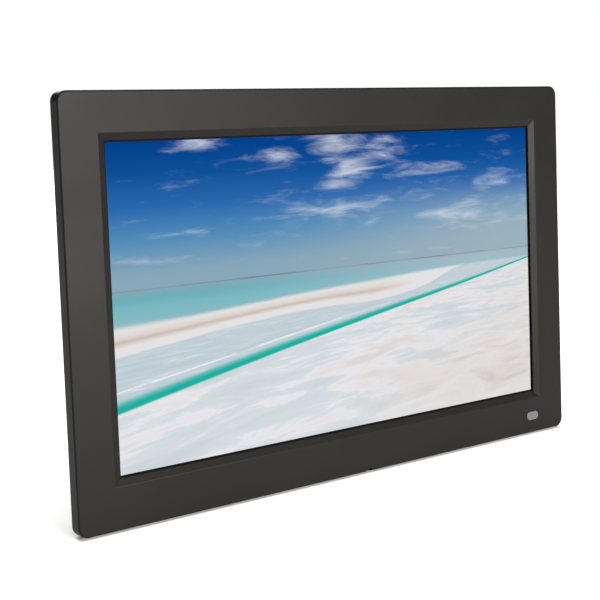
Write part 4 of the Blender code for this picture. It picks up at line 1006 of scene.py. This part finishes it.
class PHOTOFRAME_OT_inner_parts(bpy.types.Operator):
    """Finishes the display's layers, the boards, the speakers and the wires"""
    bl_idname = "photoframe.inner_parts"
    bl_label = "Inner Parts"

    def execute(self, context):
        for finish, nodes in INNER_FINISHES.items():
            for node in nodes.split():
                finish_node(node, finish)
        mask = self.solder_mask()
        for node in ("main_board", "key_board", "ir_board", "lcd_driver_board"):
            finish_node(node, mask.name)
        return {"FINISHED"}

    def solder_mask(self):
        """Green lacquer over copper tracks on glass-epoxy laminate."""
        finish, tree, shader = new_finish("green_solder_mask", hex_colour("14532C"), 0.35, IOR=1.5)
        place = add_node(tree, "TexCoord").outputs["Object"]
        tracks = add_node(
            tree, "TexVoronoi", {"distance": "MANHATTAN"}, {"Vector": place, "Scale": per(3.5)}
        )
        edge = add_node(tree, "MapRange", None, {
            "Value": tracks.outputs["Distance"], "From Min": 0.35, "From Max": 0.42,
        })
        add_node(tree, "Mix", MIX_COLOURS, {
            FACTOR: edge, FIRST: (*hex_colour("1B6A3A"), 1), SECOND: (*hex_colour("0F4424"), 1),
        }, {MIXED: shader.inputs["Base Color"]})
        add_node(tree, "Bump", None, {
            "Height": edge, "Distance": 0.03 * MM,
        }, {0: shader.inputs["Normal"]})
        return finish


# The studio

# name: place, aim, width, height, power in watts, colour
SOFTBOXES = {
    "front_softbox": ((0.37, -1.88, 0.42), (0, 0, 0.12), 1.2, 0.8, 80, "FFF8F1"),
    "side_softbox": ((-2.0, -0.2, 0.8), (0, 0, 0.1), 1.0, 1.0, 2, "FFFFFF"),
    "top_softbox": ((0, 0, 2.2), (0, 0, 0), 2.6, 2.6, 6, "FFFFFF"),
    "rear_softbox": ((0.8, 2.0, 0.9), (0, 0, 0.1), 1.2, 1.2, 22, "FFFFFF"),
}
CEILING_STRENGTH = 3.3
CEILING_SPREAD = math.radians(50)
ROOM_LIGHT = 0.1  # strength of the white surroundings as a light
BACKDROP = 1.0  # their strength where the camera sees them
CAMERA_PLACE = (-0.44333, -0.59345, 0.22532)
CAMERA_AIM = Vector((0.59366, 0.79402, -0.13075))
FOCAL_LENGTH = 76.6  # millimetres, on the usual sensor 36 mm wide
CAMERA_SHIFT = -0.095


class PHOTOFRAME_OT_stage(bpy.types.Operator):
    """Sets the floor, the softboxes, the plain surroundings and the camera"""
    bl_idname = "photoframe.stage"
    bl_label = "Stage"

    def execute(self, context):
        scene = context.scene
        scene.view_settings.view_transform = "Standard"
        self.lay_floor()
        self.hang_lights(scene)
        self.light_room(scene)
        self.place_camera(scene)
        return {"FINISHED"}

    def lay_floor(self):
        bm = bmesh.new()
        bmesh.ops.create_circle(bm, cap_ends=True, segments=96, radius=30)
        floor = new_piece("studio_floor", bm)
        colour = tuple(colours().floor)
        paint, tree, shader = new_finish("matt_floor_paint", colour, 0.9, Specular_IOR_Level=0.1)
        place = add_node(tree, "TexCoord").outputs["Object"]
        mottle = add_node(tree, "TexNoise", None, {"Vector": place, "Scale": per(180)})
        add_node(tree, "Mix", MIX_COLOURS, {
            FACTOR: mottle, FIRST: shaded(colour, 0.985), SECOND: (*colour, 1),
        }, {MIXED: shader.inputs["Base Color"]})
        floor.data.materials.append(paint)

    def hang_lights(self, scene):
        for name, (place, aim, width, height, power, tint) in SOFTBOXES.items():
            light = bpy.data.lights.new(name, "AREA")
            light.shape = "RECTANGLE"
            light.size, light.size_y, light.energy = width, height, power
            light.color = hex_colour(tint)
            lamp = bpy.data.objects.new(name, light)
            lamp.location = place
            lamp.rotation_euler = (Vector(aim) - Vector(place)).to_track_quat("-Z", "Y").to_euler()
            scene.collection.objects.link(lamp)
        sky_light = bpy.data.lights.new("ceiling_light", "SUN")
        sky_light.energy, sky_light.angle = CEILING_STRENGTH, CEILING_SPREAD
        scene.collection.objects.link(bpy.data.objects.new("ceiling_light", sky_light))

    def light_room(self, scene):
        """White surroundings, dimmer as a light than as a backdrop."""
        world = bpy.data.worlds.new("white_studio")
        world.use_nodes = True
        tree = world.node_tree
        seen = add_node(tree, "LightPath").outputs["Is Camera Ray"]
        backdrop = tree.nodes["Background"]
        backdrop.inputs["Color"].default_value = (1, 1, 1, 1)
        add_node(tree, "MapRange", None, {
            "Value": seen, "To Min": ROOM_LIGHT, "To Max": BACKDROP,
        }, {0: backdrop.inputs["Strength"]})
        scene.world = world

    def place_camera(self, scene):
        lens = bpy.data.cameras.new("studio_camera")
        lens.lens = FOCAL_LENGTH
        lens.clip_start = 0.02
        lens.shift_y = CAMERA_SHIFT
        camera = bpy.data.objects.new("studio_camera", lens)
        camera.location = CAMERA_PLACE
        camera.rotation_euler = CAMERA_AIM.to_track_quat("-Z", "Y").to_euler()
        scene.collection.objects.link(camera)
        scene.camera = camera


class PHOTOFRAME_PT_sidebar(bpy.types.Panel):
    """Lists the sizes, the colours and one button for each group of pieces"""
    bl_idname = "PHOTOFRAME_PT_sidebar"
    bl_label = "Photo Frame"
    bl_space_type = "VIEW_3D"
    bl_region_type = "UI"
    bl_category = "Photo Frame"

    def draw(self, context):
        layout = self.layout
        for group in (context.scene.photo_frame_sizes, context.scene.photo_frame_colours):
            column = layout.column(align=True)
            for name in group.__annotations__:
                column.prop(group, name)
        for operator in OPERATORS:
            layout.operator(operator.bl_idname)


OPERATORS = [
    PHOTOFRAME_OT_front_bezel,
    PHOTOFRAME_OT_display,
    PHOTOFRAME_OT_receiver_window,
    PHOTOFRAME_OT_rear_cover,
    PHOTOFRAME_OT_stand,
    PHOTOFRAME_OT_feet,
    PHOTOFRAME_OT_keys,
    PHOTOFRAME_OT_screws,
    PHOTOFRAME_OT_ports,
    PHOTOFRAME_OT_inner_parts,
    PHOTOFRAME_OT_stage,
]
CLASSES = [FrameSizes, FrameColours, *OPERATORS, PHOTOFRAME_PT_sidebar]


def register():
    for item in CLASSES:
        bpy.utils.register_class(item)
    bpy.types.Scene.photo_frame_sizes = PointerProperty(type=FrameSizes)
    bpy.types.Scene.photo_frame_colours = PointerProperty(type=FrameColours)


def unregister():
    del bpy.types.Scene.photo_frame_colours
    del bpy.types.Scene.photo_frame_sizes
    for item in reversed(CLASSES):
        bpy.utils.unregister_class(item)


def main():
    register()
    for operator in OPERATORS:
        group, name = operator.bl_idname.split(".")
        getattr(getattr(bpy.ops, group), name)()


if __name__ == "__main__":
    main()
